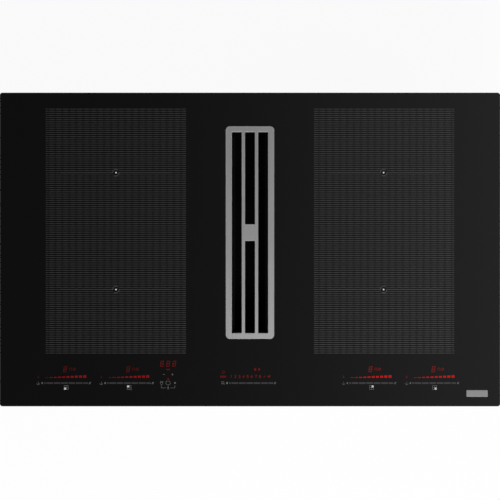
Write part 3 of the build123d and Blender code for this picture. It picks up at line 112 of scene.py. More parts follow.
class FieldPrintSizes(bpy.types.PropertyGroup):
    """Sizes of the two striped cooking fields and their zone marks."""

    centre_x: length("Field centre", "Distance of each field's centre from the panel's middle", 222.2)
    centre_y: length("Field offset", "How far the fields lie behind the panel's middle", 30.5)
    width: length("Field width", "Width of one striped field", 232.4)
    depth: length("Field depth", "Depth of one striped field", 405.12)
    rows: bpy.props.IntProperty(name="Rows", description="Rows of dashes in a field", default=116, min=2)
    stripe: length("Stripe", "Depth of a dash in its middle", 0.8)
    stripe_end: length("Stripe end", "Depth of a dash at its ends", 0.53)
    stripe_flat: length("Stripe flat", "Length of a dash's even middle", 2.4)
    dash_pitch: length("Dash pitch", "Distance from dash to dash along a row", 11.57)
    dash_gap: length("Dash gap", "Space between two dashes", 0.62)
    first_gap: length("First gap", "Distance of the first gap from the field's outer edge", 4.15)
    mark_x: length("Zone marks", "Distance of the zone marks from the panel's middle", 221.75)
    mark_shift: length("Mark shift", "How far all zone marks lie to the right", -0.3)
    zone_pitch: length("Zone pitch", "Distance between a field's two zone marks", 193.7)
    zone_line: length("Zone line", "Half the length of the line through a zone mark", 93.0)
    zone_line_width: length("Zone line width", "Width of the line through a zone mark", 0.9)
    dot: length("Dot", "Diameter of the dot in a zone mark", 2.6)
    ring: length("Ring", "Diameter of the ring round the dot", 10.5)
    ring_line: length("Ring line", "Width of the ring's line", 0.75)


class ControlPrintSizes(bpy.types.PropertyGroup):
    """Sizes of the touch controls along the front edge."""

    outer_x: length("Outer units", "Distance of the two outer zone controls from the middle", 305.15)
    inner_x: length("Inner units", "Distance of the two inner zone controls from the middle", 200.78)
    digit_y: length("Digit row", "Place of the level digits from the panel's middle", -198.45)
    block_y: length("Bar row", "Base line of the level bars from the panel's middle", -212.5)
    slider_y: length("Slider row", "Centre line of the sliders from the panel's middle", -221.35)
    key_y: length("Key row", "Centre line of the zone keys from the panel's middle", -228.75)
    slider: length("Slider length", "Length of a touch slider", 73.0)
    slider_height: length("Slider height", "Height of a slider's dashes", 2.7)
    slider_pitch: length("Slider pitch", "Distance from dash to dash of a slider", 12.25)
    slider_gap: length("Slider gap", "Space between two dashes of a slider", 1.3)
    blocks: bpy.props.IntProperty(name="Bars", description="Level bars of a control", default=10, min=2)
    block_pitch: length("Bar pitch", "Distance between two level bars", 6.97)
    block: length("Bar", "Width of a level bar", 4.6)
    block_low: length("Lowest bar", "Height of the first level bar", 0.42)
    block_high: length("Highest bar", "Height of the last level bar", 4.1)
    block_split: length("Bar split", "Gap between the two lamps of a bar", 0.4)
    digit_width: length("Digit width", "Width of a display digit", 4.3)
    digit_height: length("Digit height", "Height of a display digit", 9.2)
    segment: length("Segment", "Width of a display segment", 0.65)
    slant: factor("Slant", "Sideways lean of the digits for their height", 0.17)
    timer_x: length("Timer", "Place of the timer from the panel's middle", -135.65)
    timer_y: length("Timer row", "Place of the timer digits from the panel's middle", -189.25)
    timer_pitch: length("Timer pitch", "Distance between two timer digits", 10.15)
    fan_x: length("Fan slider", "Place of the extractor's slider from the panel's middle", 1.7)
    fan_digit_y: length("Fan digits", "Place of the extractor's level numbers", -210.5)
    line: length("Fine line", "Width of a fine printed line", 0.45)


class FilterNetSizes(bpy.types.PropertyGroup):
    """Sizes of the grease nets in the filter basket."""

    hem: length("Hem", "Width of the folded strip round a net", 4.0)
    pitch: length("Wire pitch", "Distance from wire to wire along the hem", 6.2)
    wire: length("Wire width", "Width of one flat wire", 1.3)
    wire_depth: length("Wire depth", "Thickness of one flat wire", 0.6)


class PrintColours(bpy.types.PropertyGroup):
    """Colours of what is printed on, or shines through, the glass."""

    stripe: colour("Stripes", "Dark lustre enamel of the cooking fields", 0.021, 0.021, 0.0212)
    zone: colour("Zone rings", "Grey enamel of the zone marks' rings", 0.098, 0.098, 0.099)
    slider: colour("Sliders", "Dark grey enamel of the sliders", 0.0148, 0.0148, 0.015)
    line: colour("Lines", "Grey enamel of keys and fine lines", 0.13, 0.13, 0.132)
    key: colour("Key frames", "Light grey enamel of the zone keys' frames", 0.16, 0.16, 0.162)
    filled: colour("Filled keys", "Pale enamel of the filled keys", 0.52, 0.52, 0.52)
    white: colour("Dots", "White enamel of the zones' dots", 0.75, 0.75, 0.75)
    bar_left: colour("Left bars", "Light of the level bars on the left", 0.235, 0.0004, 0.0004)
    bar_right: colour("Right bars", "Light of the level bars on the right", 0.53, 0.001, 0.001)
    digit: colour("Digits", "Light of digits and the extractor's numbers", 0.185, 0.0006, 0.0005)
    sign: colour("Signs", "Light of the small red signs", 0.14, 0.0005, 0.0004)


class FinishColours(bpy.types.PropertyGroup):
    """Colours of the cooktop's own materials."""

    glass: colour("Glass", "Black glass ceramic", 0.0009, 0.0009, 0.0009)
    grille: colour("Grille", "Satin steel of the intake grille", 0.555, 0.555, 0.555)
    galvanised: colour("Galvanised steel", "Sheet of the hob box and extractor case", 0.55, 0.57, 0.58)
    plastic: colour("Black plastic", "Moulded air path and fans", 0.020, 0.020, 0.020)
    # The basket's enamel and the filter mesh are their own black, set darker still as painted shade, so that
    # they read black deep in the slots.
    enamel: colour("Black enamel", "Filter basket", 0.002, 0.002, 0.002)
    mesh: colour("Filter mesh", "Black anodised aluminium mesh", 0.015, 0.015, 0.015)
    foam: colour("Foam", "Sealing tape and bead", 0.028, 0.028, 0.028)
    rubber: colour("Rubber", "Pads and dampers", 0.022, 0.022, 0.022)
    aluminium: colour("Aluminium", "Coil plates and heat sinks", 0.70, 0.70, 0.72)
    former: colour("Coil former", "Natural glass-filled plastic", 0.60, 0.60, 0.55)
    copper: colour("Copper", "Enamelled coil wire", 0.72, 0.36, 0.20)
    ferrite: colour("Ferrite", "Bars below the coils", 0.06, 0.06, 0.06)
    ceramic: colour("Ceramic", "Temperature sensors", 0.80, 0.80, 0.78)
    mat: colour("Mineral mat", "Heat insulation", 0.75, 0.73, 0.68)
    board: colour("Board", "Green solder mask", 0.03, 0.16, 0.07)
    component: colour("Components", "Moulded parts on the boards", 0.040, 0.040, 0.045)
    zinc: colour("Zinc", "Plated screws, spacers and motor", 0.60, 0.60, 0.60)


class StageSettings(bpy.types.PropertyGroup):
    """Camera, lamp, floor and surroundings."""

    camera_x: length("Camera right", "Place of the camera to the right", 0.03)
    camera_y: length("Camera back", "Place of the camera to the back", -0.83)
    camera_height: length("Camera height", "Height of the camera above the worktop", 3112.6)
    lens: bpy.props.FloatProperty(
        name="Lens", description="Focal length of the camera", default=135, unit="CAMERA"
    )
    key_power: bpy.props.FloatProperty(
        name="Key power", description="Power of the soft key lamp", default=33.5, unit="POWER"
    )
    key_size: length("Key size", "Side of the soft key lamp", 900)
    key_x: length("Key right", "Place of the key lamp to the right", 300)
    key_y: length("Key back", "Place of the key lamp to the back", -1480)
    key_z: length("Key height", "Height of the key lamp", 1450)
    floor: colour("Floor", "Plain pale floor", 0.90, 0.90, 0.90)
    floor_white: factor("Floor white", "Share of plain white in the floor that is seen", 0.93)
    horizon: factor("Horizon", "Light level of the surroundings at the horizon", 0.85)
    overhead: factor("Overhead", "Light level overhead at the panel's left edge", 0.084)
    overhead_bend: factor("Overhead bend", "Growing rise of the overhead level to the right", 0.295)
    overhead_top: factor("Overhead top", "Highest overhead level", 0.42)


def arithmetic(operation, reflected=False):
    """A method that adds a Math node for one operator, or for its reflected form."""

    def method(self, other=0.0):
        first, second = (other, self) if reflected else (self, other)
        return self.finish.add("Math", {"operation": operation}, {0: first, 1: second})["Value"]

    return method


class Wire:
    """One socket of a finish. Arithmetic on it adds Math nodes."""

    def __init__(self, finish, socket):
        self.finish = finish
        self.socket = socket

    __add__ = arithmetic("ADD")
    __radd__ = arithmetic("ADD", reflected=True)
    __sub__ = arithmetic("SUBTRACT")
    __rsub__ = arithmetic("SUBTRACT", reflected=True)
    __mul__ = arithmetic("MULTIPLY")
    __rmul__ = arithmetic("MULTIPLY", reflected=True)
    __truediv__ = arithmetic("DIVIDE")
    __pow__ = arithmetic("POWER")
    __mod__ = arithmetic("FLOORED_MODULO")
    __lt__ = arithmetic("LESS_THAN")
    __gt__ = arithmetic("GREATER_THAN")
    __abs__ = arithmetic("ABSOLUTE")
    at_least = arithmetic("MAXIMUM")
    at_most = arithmetic("MINIMUM")

    def ripple(self):
        """Half at each whole number, falling to nothing midway between them."""
        return abs(self % 1.0 - 0.5)


def open_socket(sockets, key):
    """The socket of that place or name which the node's settings leave in use."""
    if isinstance(key, int):
        return sockets[key]
    for socket in sockets:
        if socket.enabled and socket.name == key:
            return socket
    raise KeyError(f"no socket {key}")


class Finish:
    """The nodes of one material or of the world."""

    def __init__(self, owner):
        owner.use_nodes = True
        self.owner = owner
        self.tree = owner.node_tree
        self.tree.nodes.clear()

    def add(self, kind, settings=None, inputs=None):
        """Adds a node: first its settings, then values and links. Gives its outlets by name."""
        node = self.tree.nodes.new("ShaderNode" + kind)
        for key, value in (settings or {}).items():
            if key == "stops":
                ramp = node.color_ramp
                while len(ramp.elements) < len(value):
                    ramp.elements.new(1.0)
                for element, (place, tint) in zip(ramp.elements, value):
                    element.position = place
                    element.color = tint
            else:
                setattr(node, key, value)
        for key, value in (inputs or {}).items():
            socket = open_socket(node.inputs, key)
            if isinstance(value, Wire):
                self.tree.links.new(value.socket, socket)
            else:
                socket.default_value = value
        return {socket.name: Wire(self, socket) for socket in node.outputs if socket.enabled}

    def axes(self, vector):
        outlets = self.add("SeparateXYZ", None, {"Vector": vector})
        return outlets["X"], outlets["Y"], outlets["Z"]

    def point(self, x, y, z):
        return self.add("CombineXYZ", None, {"X": x, "Y": y, "Z": z})["Vector"]

    def stretched(self, vector, scales):
        return self.add("VectorMath", {"operation": "MULTIPLY"}, {0: vector, 1: scales})["Vector"]

    def noise(self, vector, scale, detail=2.0):
        return self.add("TexNoise", None, {"Vector": vector, "Scale": scale, "Detail": detail})["Fac"]

    def streaks(self, vector, scales, detail=2.0):
        """Noise drawn out along the axes whose scale is small."""
        return self.noise(self.stretched(vector, scales), 1.0, detail)

    def cells(self, vector, scale, outlet="Distance"):
        return self.add("TexVoronoi", None, {"Vector": vector, "Scale": scale})[outlet]

    def mix(self, first, second, share):
        inputs = {"Factor": share, "A": first, "B": second}
        return self.add("Mix", {"data_type": "RGBA"}, inputs)["Result"]

    def ease(self, value, low, high):
        """Rises smoothly from 0 at low to 1 at high."""
        inputs = {"Value": value, "From Min": low, "From Max": high}
        return self.add("MapRange", {"interpolation_type": "SMOOTHSTEP"}, inputs)["Result"]

    def bump(self, height, strength, depth):
        return self.add("Bump", None, {"Strength": strength, "Distance": depth, "Height": height})["Normal"]

    def surface(self, inputs):
        shader = self.add("BsdfPrincipled", None, inputs)["BSDF"]
        self.add("OutputMaterial", None, {"Surface": shader})
        return self.owner


def new_finish(name):
    """The nodes of a new material, and the place of each point on its piece."""
    finish = Finish(bpy.data.materials.new(name))
    return finish, finish.add("TexCoord")["Object"]


def shade(tint, level):
    """A colour made lighter or darker."""
    return (*[min(part * level, 1.0) for part in tint[:3]], 1.0)


def wiping_smear(finish, place):
    """The faint marks that wiping leaves on the panel."""
    return finish.streaks(place, (5.0, 14.0, 5.0), 5.0)


def black_glass(tint):
    """Polished glass ceramic with the smears of wiping."""
    finish, place = new_finish("black_glass")
    smear = wiping_smear(finish, place)
    speck = finish.noise(place, 900.0)
    return finish.surface({
        "Base Color": finish.mix(tint, shade(tint, 2.2), speck),
        "Roughness": 0.015 + smear * 0.03,
        "IOR": GLASS_IOR,
    })


def brushed_metal(name, tint, scales, roughness, depth):
    """Metal with fine streaks; scales are large across the streaks and small along them."""
    finish, place = new_finish(name)
    streak = finish.streaks(place, scales, 4.0)
    cloud = finish.noise(place, 14.0, 3.0)
    return finish.surface({
        "Base Color": finish.mix(shade(tint, 0.90), shade(tint, 1.08), streak),
        "Metallic": 1.0,
        "Roughness": roughness - 0.08 + streak * 0.12 + cloud * 0.04,
        "Normal": finish.bump(streak, 0.12, depth),
    })


def spangled_sheet(tint):
    """Hot-dip galvanised sheet: crystals of zinc, each a little lighter or duller than the next."""
    finish, place = new_finish("galvanised_steel")
    bend = finish.noise(place, 60.0)
    crystal = finish.add("SeparateColor", None, {"Color": finish.cells(place, 240.0, "Color")})
    tone = crystal["Red"] * 0.7 + bend * 0.3
    stain = finish.ease(finish.noise(place, 7.0, 5.0), 0.55, 0.75)
    base = finish.mix(shade(tint, 0.75), shade(tint, 1.08), tone)
    return finish.surface({
        "Base Color": finish.mix(base, shade(tint, 0.82), stain * 0.15),
        "Metallic": 0.9,
        "Roughness": 0.36 + crystal["Green"] * 0.14 + stain * 0.1,
        "Normal": finish.bump(finish.noise(place, 900.0), 0.05, 0.1 * MM),
    })


def moulded(name, tint, roughness, grain, depth, gloss=0.5):
    """Moulded or coated skin: an even fine grain and slightly uneven gloss."""
    finish, place = new_finish(name)
    texture = finish.noise(place, grain, 3.0)
    flow = finish.streaks(place, (22.0, 9.0, 30.0), 4.0)
    return finish.surface({
        "Base Color": finish.mix(shade(tint, 0.8), shade(tint, 1.25), flow),
        "Roughness": roughness - 0.07 + texture * 0.08 + flow * 0.06,
        "Specular IOR Level": gloss,
        "Normal": finish.bump(texture, 0.25, depth),
    })


def filter_weave(tint):
    """Anodised aluminium: a fine slanted weave on the wires, and a strip along the top painted darker as
    painted shade.
    """
    finish, place = new_finish("filter_mesh")
    along, up = finish.axes(place)[1:]
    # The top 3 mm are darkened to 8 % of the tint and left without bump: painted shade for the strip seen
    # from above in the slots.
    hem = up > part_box("filter_mesh_left")[1].z - 3.0 * MM
    wires_per_metre = 700.0
    rise = ((along + up) * wires_per_metre).ripple()
    fall = ((along - up) * wires_per_metre).ripple()
    wire = rise.at_least(fall) * 2.0
    weave = finish.mix(shade(tint, 0.25), shade(tint, 1.6), wire)
    return finish.surface({
        "Base Color": finish.mix(weave, shade(tint, 0.08), hem),
        "Specular IOR Level": 0.05,
        "Roughness": 0.7 - wire * 0.15 + hem * 0.2,
        "Normal": finish.bump(wire * (1.0 - hem), 0.6, 0.4 * MM),
    })


def foam(tint):
    """Closed-cell sealing foam with small pores."""
    finish, place = new_finish("seal_foam")
    pore = finish.cells(place, 1400.0)
    return finish.surface({
        "Base Color": finish.mix(shade(tint, 0.5), shade(tint, 1.4), pore),
        "Roughness": 0.86 + pore * 0.1,
        "Normal": finish.bump(pore, 0.5, 0.3 * MM),
    })


def coil_turns(tint, name):
    """Twisted, enamelled wire laid turn by turn round the coil's eye, with painted shade in the grooves
    between the turns.
    """
    low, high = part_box(name)
    finish, place = new_finish(name + "_wire")
    x, y = finish.axes(place)[:2]
    across = (x - (low.x + high.x) / 2) / (high.x - low.x)
    along = (y - (low.y + high.y) / 2) / (high.y - low.y)
    reach = (across * across + along * along) ** 0.5 * (high.y - low.y)
    turn_pitch = 2.6 * MM
    strand_pitch = 1.1 * MM
    groove = (reach / turn_pitch).ripple() * 2.0
    twist = ((x + y) / strand_pitch).ripple() * 2.0
    return finish.surface({
        # The colour falls to about a quarter in the grooves between turns: painted shade.
        "Base Color": finish.mix(shade(tint, 1.1), shade(tint, 0.28), groove ** 3.0),
        "Metallic": 0.85,
        "Roughness": 0.32 + twist * 0.1,
        "Normal": finish.bump((1.0 - groove) + twist * 0.15, 0.6, 0.8 * MM),
    })


def fibre_mat(tint):
    """Pressed mineral wool."""
    finish, place = new_finish("mineral_mat")
    warp = finish.streaks(place, (260.0, 30.0, 120.0), 4.0)
    weft = finish.streaks(place, (30.0, 260.0, 120.0), 4.0)
    strand = warp.at_least(weft)
    return finish.surface({
        "Base Color": finish.mix(shade(tint, 0.7), shade(tint, 1.15), strand),
        "Roughness": 0.85 + strand * 0.12,
        "Normal": finish.bump(strand, 0.5, 0.6 * MM),
    })


def circuit_board(tint):
    """Green solder mask over copper tracks, with bright solder points."""
    finish, place = new_finish("board_green")
    x, y = finish.axes(place)[:2]
    lane = finish.streaks(place, (40.0, 260.0, 1.0))
    track = finish.ease((lane * 9.0).ripple(), 0.18, 0.26)
    nearest = finish.cells(finish.point(x, y, 0.0), 130.0)
    solder = nearest < 0.16
    mask = finish.mix(shade(tint, 0.75), shade(tint, 1.35), track)
    return finish.surface({
        "Base Color": finish.mix(mask, (0.62, 0.62, 0.60, 1.0), solder),
        "Metallic": solder * 0.9,
        "Roughness": 0.34 - solder * 0.08,
        "Normal": finish.bump(track * 0.4 + solder, 0.3, 0.2 * MM),
    })


def mixed_components(tint):
    """Board parts: most are black, some are the blue, ochre or white of their kind."""
    finish, place = new_finish("component_black")
    island = finish.add("NewGeometry")["Random Per Island"]
    stops = [
        (0.0, shade(tint, 1.0)),
        (0.55, (0.02, 0.04, 0.12, 1.0)),
        (0.75, (0.42, 0.26, 0.05, 1.0)),
        (0.88, (0.55, 0.55, 0.52, 1.0)),
    ]
    tone = finish.add("ValToRGB", {"stops": stops}, {"Fac": island})["Color"]
    grain = finish.noise(place, 1600.0)
    return finish.surface({
        "Base Color": finish.mix(tone, shade(tint, 0.7), grain * 0.4),
        "Roughness": 0.42 + grain * 0.12,
        "Normal": finish.bump(grain, 0.15, 0.1 * MM),
    })


def speckled(name, tint, roughness):
    """Fired or pressed powder, with a fine speckle."""
    finish, place = new_finish(name)
    speck = finish.noise(place, 2200.0, 4.0)
    return finish.surface({
        "Base Color": finish.mix(shade(tint, 0.75), shade(tint, 1.2), speck),
        "Roughness": roughness + speck * 0.1,
        "Normal": finish.bump(speck, 0.15, 0.1 * MM),
    })


def zinc_plate(tint):
    """Bright zinc with the faint blue and straw tints of its passivation."""
    finish, place = new_finish("zinc_steel")
    cloud = finish.noise(place, 120.0, 4.0)
    cool = (tint[0] * 0.94, tint[1] * 0.98, tint[2] * 1.08, 1.0)
    warm = (tint[0] * 1.06, tint[1] * 1.02, tint[2] * 0.88, 1.0)
    return finish.surface({
        "Base Color": finish.mix(cool, warm, cloud),
        "Metallic": 1.0,
        "Roughness": 0.26 + cloud * 0.14,
        "Normal": finish.bump(finish.noise(place, 1500.0), 0.06, 0.1 * MM),
    })


def glass_enamel(name, tint, lustre=GLASS_IOR):
    """Ceramic ink fired into the glass: fine dots of ink with a satin skin."""
    finish, place = new_finish(name)
    dots = finish.noise(place, 3200.0)
    smear = wiping_smear(finish, place)
    return finish.surface({
        "Base Color": finish.mix(shade(tint, 0.86), shade(tint, 1.14), dots),
        "Roughness": 0.278 + smear * 0.02,
        "IOR": lustre,
    })


def lamp_window(name, tint):
    """A red lamp below clear glass, a little uneven over its face."""
    finish, place = new_finish(name)
    glow = finish.noise(place, 420.0, 3.0)
    return finish.surface({
        "Base Color": finish.mix((0.002, 0.001, 0.001, 1.0), (0.006, 0.002, 0.002, 1.0), glow),
        "Roughness": 0.29 + glow * 0.04,
        "IOR": 1.3,
        "Emission Color": finish.mix(shade(tint, 0.84), shade(tint, 1.16), glow),
        "Emission Strength": 1.0,
    })


def new_object(name, content):
    """Puts a mesh, lamp or camera into the scene."""
    made = bpy.data.objects.new(name, content)
    bpy.context.scene.collection.objects.link(made)
    return made


def dress(material, *names):
    """Gives CAD pieces their finish."""
    for name in names:
        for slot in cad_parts[name].material_slots:
            slot.material = material


def pair(*names):
    """The left and the right piece of each name."""
    return [f"{name}_{side}" for name in names for side in SIDES]


class GlassPrint:
    """Closed thin prisms that lie in the glass's surface, gathered into one mesh."""

    def __init__(self, rise=PRINT_RISE):
        self.low = GLASS_TOP - PRINT_SINK
        self.high = GLASS_TOP + rise
        self.points = []
        self.faces = []

    def prism(self, outline):
        start = len(self.points)
        count = len(outline)
        self.points += [(x, y, self.low) for x, y in outline]
        self.points += [(x, y, self.high) for x, y in outline]
        self.faces.append([start + i for i in range(count)])
        self.faces.append([start + count + i for i in range(count)])
        for i in range(count):
            j = (i + 1) % count
            self.faces.append([start + i, start + j, start + count + j, start + count + i])

    def bar(self, left, right, front, rear):
        self.prism([(left, front), (right, front), (right, rear), (left, rear)])

    def block(self, x, y, left, right, front, rear):
        """A bar whose sides lie so many millimetres from a place."""
        self.bar(x + left * MM, x + right * MM, y + front * MM, y + rear * MM)

    def stroke(self, x, y, points, width, closed=False):
        """A line through points that lie so many millimetres from a place."""
        self.band(sign(points, x, y), width, closed)

    def disc(self, x, y, radius, sides=24):
        self.prism(moved(circle(radius, 0, 360, sides)[:-1], x, y))

    def band(self, path, width, closed=False):
        """A line of even width along a path, mitred at its corners."""
        start = len(self.points)
        count = len(path)
        for i, (x, y) in enumerate(path):
            before = Vector(path[i - 1]) if closed or i else None
            after = Vector(path[(i + 1) % count]) if closed or i + 1 < count else None
            here = Vector((x, y))
            ways = []
            if before is not None:
                ways.append((here - before).normalized())
            if after is not None:
                ways.append((after - here).normalized())
            sides = [Vector((-way.y, way.x)) for way in ways]
            side = sum(sides, Vector((0, 0))).normalized()
            half = width / 2 / max(side.dot(sides[0]), 0.5)
            left = here + side * half
            right = here - side * half
            self.points += [(left.x, left.y, self.low), (right.x, right.y, self.low)]
            self.points += [(right.x, right.y, self.high), (left.x, left.y, self.high)]
        for i in range(count if closed else count - 1):
            near = start + 4 * i
            far = start + 4 * ((i + 1) % count)
            for edge in range(4):
                turn = (edge + 1) % 4
                self.faces.append([near + edge, near + turn, far + turn, far + edge])
        if not closed:
            last = start + 4 * (count - 1)
            self.faces.append([start + i for i in range(4)])
            self.faces.append([last + i for i in range(4)])

    def ring(self, x, y, radius, width, sides=28):
        self.band(moved(circle(radius, 0, 360, sides)[:-1], x, y), width, closed=True)

    def build(self, name, material, body="chassis"):
        """Makes the mesh and lets it ride on a body."""
        mesh = bpy.data.meshes.new(name)
        mesh.from_pydata(self.points, [], self.faces)
        tidy = bmesh.new()
        tidy.from_mesh(mesh)
        bmesh.ops.recalc_face_normals(tidy, faces=tidy.faces)
        tidy.to_mesh(mesh)
        tidy.free()
        mesh.materials.append(material)
        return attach(new_object(name, mesh), body)


class GreaseNet(GlassPrint):
    """Flat wires in an upright plane, drawn along the net and up, with their depth across the plane."""

    def __init__(self, low, high, sizes):
        super().__init__()
        self.corner = (low.y + sizes.hem / 2, low.z + sizes.hem / 2)
        self.reach = high.y - low.y - sizes.hem
        self.rise = high.z - low.z - sizes.hem
        self.sizes = sizes

    def hem(self, low, high):
        self.low, self.high = low, high
        corners = ((0, 0), (self.reach, 0), (self.reach, self.rise), (0, self.rise))
        self.band(moved(corners, *self.corner), self.sizes.hem, closed=True)

    def slanted_wires(self, depth, start, falling):
        """One layer of wires at 45 degrees, cut off at the hem; start is a share of the pitch."""
        self.low, self.high = depth, depth + self.sizes.wire_depth
        end = start * self.sizes.pitch
        while end < self.reach + self.rise:
            first = max(end - self.rise, 0)
            last = min(end, self.reach)
            path = [(along, along - end + self.rise) for along in (first, last)]
            if falling:
                path = [(self.reach - along, up) for along, up in path]
            self.band(moved(path, *self.corner), self.sizes.wire)
            end += self.sizes.pitch

    def build(self, name, material, body):
        self.points = [(depth, along, up) for along, up, depth in self.points]
        return super().build(name, material, body)


def circle(radius, first, last, steps):
    """Points on an arc round the origin, from one angle to another in degrees."""
    angles = [math.radians(first + (last - first) * i / steps) for i in range(steps + 1)]
    return [(radius * math.cos(angle), radius * math.sin(angle)) for angle in angles]


def moved(points, x, y):
    return [(x + px, y + py) for px, py in points]


def sign(points, x, y):
    """Points of a small sign, drawn in millimetres round its middle, put in their place."""
    return [(x + px * MM, y + py * MM) for px, py in points]


def both_ways(points):
    """A shape that looks the same turned half round, from its first half."""
    return points + [(-px, -py) for px, py in points]


def seven_segments(layer, x, y, sizes):
    """A display digit with all its seven segments lit."""
    half_width = sizes.digit_width / 2
    half_height = sizes.digit_height / 2
    half = sizes.segment / 2
    slack = 0.12 * MM
    flat = half_width - half - slack
    tall = half_height / 2 - half / 2 - slack
    for level in (-1, 0, 1):
        middle = level * (half_height - half)
        shape = both_ways([(-flat - half, 0), (-flat, -half), (flat, -half)])
        layer.prism([(x + px + (py + middle) * sizes.slant, y + py + middle) for px, py in shape])
    for side in (-1, 1):
        for level in (-1, 1):
            middle = level * (half_height - half) / 2
            shape = both_ways([(0, -tall - half), (half, -tall), (half, tall)])
            place = x + side * half_width
            layer.prism([(place + px + (py + middle) * sizes.slant, y + py + middle) for px, py in shape])


NUMBER_STROKES = (
    [(-0.7, 1.2), (0.2, 2.0), (0.2, -2.0)],
    [(-1.1, 1.1), (-0.8, 1.7), (0, 2.0), (0.9, 1.6), (1.1, 0.9), (0.7, 0.1), (-1.2, -2.0), (1.2, -2.0)],
    [(-1.1, 1.5), (0, 2.0), (1.0, 1.5), (0.9, 0.5), (0, 0.1), (1.1, -0.5), (1.1, -1.5), (0, -2.0),
     (-1.2, -1.5)],
    [(0.6, -2.0), (0.6, 2.0), (-1.2, -0.7), (1.3, -0.7)],
    [(1.1, 2.0), (-0.9, 2.0), (-1.1, 0.2), (0, 0.6), (1.1, 0), (1.1, -1.3), (0, -2.0), (-1.2, -1.6)],
    [(0.9, 1.9), (0, 1.8), (-1.0, 0.6), (-1.2, -1.0), (-0.6, -1.9), (0.5, -1.9), (1.1, -1.0), (0.6, 0.1),
     (-0.5, 0.1), (-1.0, -0.6)],
    [(-1.2, 2.0), (1.2, 2.0), (-0.4, -2.0)],
    [(0, 0.2), (-0.9, 0.7), (-0.9, 1.5), (0, 2.0), (0.9, 1.5), (0.9, 0.7), (0, 0.2), (1.1, -0.5), (1.1, -1.4),
     (0, -2.0), (-1.1, -1.4), (-1.1, -0.5), (0, 0.2)],
)


def unit_places(sizes):
    """The four zone controls from left to right."""
    return (-sizes.outer_x, -sizes.inner_x, sizes.inner_x, sizes.outer_x)


def side_of(x):
    return "left" if x < 0 else "right"


def build_lamps(layers, piece, lamp, tint):
    """Lights the prints of the left, the middle and the right, each at its own level."""
    for side, level in LAMP_LEVELS.items():
        layers[side].build(f"{piece}_{side}", lamp_window(f"{lamp}_{side}", shade(tint, level)))


def open_spans(left, right, hole_left, hole_right):
    """What is left of a dash when a hole is cut out of it."""
    spans = []
    if hole_left > left:
        spans.append((left, min(right, hole_left)))
    if hole_right < right:
        spans.append((max(left, hole_right), right))
    return [(a, b) for a, b in spans if b - a > SHORTEST_DASH]


def field_rows(sizes):
    """The place of a field's rearmost row, and the distance from row to row."""
    reach = sizes.depth - sizes.stripe
    return sizes.centre_y + reach / 2, reach / (sizes.rows - 1)


def zone_rows(sizes):
    """The places of a field's rear and front zone."""
    return [sizes.centre_y + sizes.zone_pitch / 2, sizes.centre_y - sizes.zone_pitch / 2]


def dash_outline(left, right, start, stop, sizes):
    """The part from start to stop of a dash that narrows from its middle to its ends."""
    middle = (left + right) / 2
    flat = sizes.stripe_flat / 2
    taper = (right - left) / 2 - flat
    upper = []
    for x in (start, middle - flat, middle + flat, stop):
        if start <= x <= stop:
            share = max(abs(x - middle) - flat, 0) / taper
            upper.append((x, (sizes.stripe + (sizes.stripe_end - sizes.stripe) * share) / 2))
    return upper + [(x, -y) for x, y in reversed(upper)]


class COOKTOP_OT_dress_glass(bpy.types.Operator):
    """Polishes the black glass panel"""

    bl_idname = "cooktop.dress_glass"
    bl_label = "Glass panel"

    def execute(self, context):
        dress(black_glass(context.scene.cooktop_finishes.glass), "glass_top")
        return {"FINISHED"}


class COOKTOP_OT_dress_grille(bpy.types.Operator):
    """Brushes the intake grille along its bars"""

    bl_idname = "cooktop.dress_grille"
    bl_label = "Intake grille"

    def execute(self, context):
        tints = context.scene.cooktop_finishes
        dress(brushed_metal("satin_steel", tints.grille, (2600.0, 9.0, 900.0), 0.44, 0.05 * MM), "grille")
        return {"FINISHED"}


class COOKTOP_OT_dress_air_path(bpy.types.Operator):
    """Finishes the filter basket, the shaft below the grille, the blower, the fans and the control carrier"""

    bl_idname = "cooktop.dress_air_path"
    bl_label = "Air path"

    def execute(self, context):
        tints = context.scene.cooktop_finishes
        plastic = moulded("black_plastic", tints.plastic, 0.52, 1800.0, 0.12 * MM)
        dress(plastic, "outlet_spigot", "scroll_body", "scroll_lid", "impeller")
        dress(plastic, *pair("fan_frame", "fan_rotor"), "control_carrier", "cable_gland", "terminal_block")
        # The shaft, drip pan and collar are the black plastic made darker and duller: painted shade in the
        # recess below the grille.
        shaft = moulded("shaft_plastic_painted_shade", shade(tints.plastic, 0.2), 0.8, 900.0, 0.1 * MM, 0.1)
        dress(shaft, "air_shaft", "drip_pan")
        collar = moulded("collar_plastic_painted_shade", shade(tints.plastic, 0.3), 0.7, 900.0, 0.1 * MM, 0.15)
        dress(collar, "intake_collar")
        # The basket's enamel is its own black, set near nothing and almost without gloss: painted shade deep
        # in the slots.
        dress(moulded("black_enamel", tints.enamel, 0.8, 420.0, 0.1 * MM, 0.04), "filter_basket")
        return {"FINISHED"}


class COOKTOP_OT_add_grease_nets(bpy.types.Operator):
    """Stands two hemmed sheets of crossing wires against each long wall of the filter basket"""

    bl_idname = "cooktop.add_grease_nets"
    bl_label = "Grease nets"

    def execute(self, context):
        sizes = context.scene.cooktop_filter
        weave = filter_weave(context.scene.cooktop_finishes.mesh)
        for side in SIDES:
            node = "filter_mesh_" + side
            dress(weave, node)
            low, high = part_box(node)
            net = GreaseNet(low, high, sizes)
            net.hem(low.x, high.x)
            wire = sizes.wire_depth
            for depth, start in ((low.x + wire, 0.5), (high.x - 3 * wire, 1.0)):
                net.slanted_wires(depth, start, falling=False)
                net.slanted_wires(depth + wire, start, falling=True)
            piece = net.build("grease_net_" + side, weave, "filter")
            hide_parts(node)
        return {"FINISHED"}


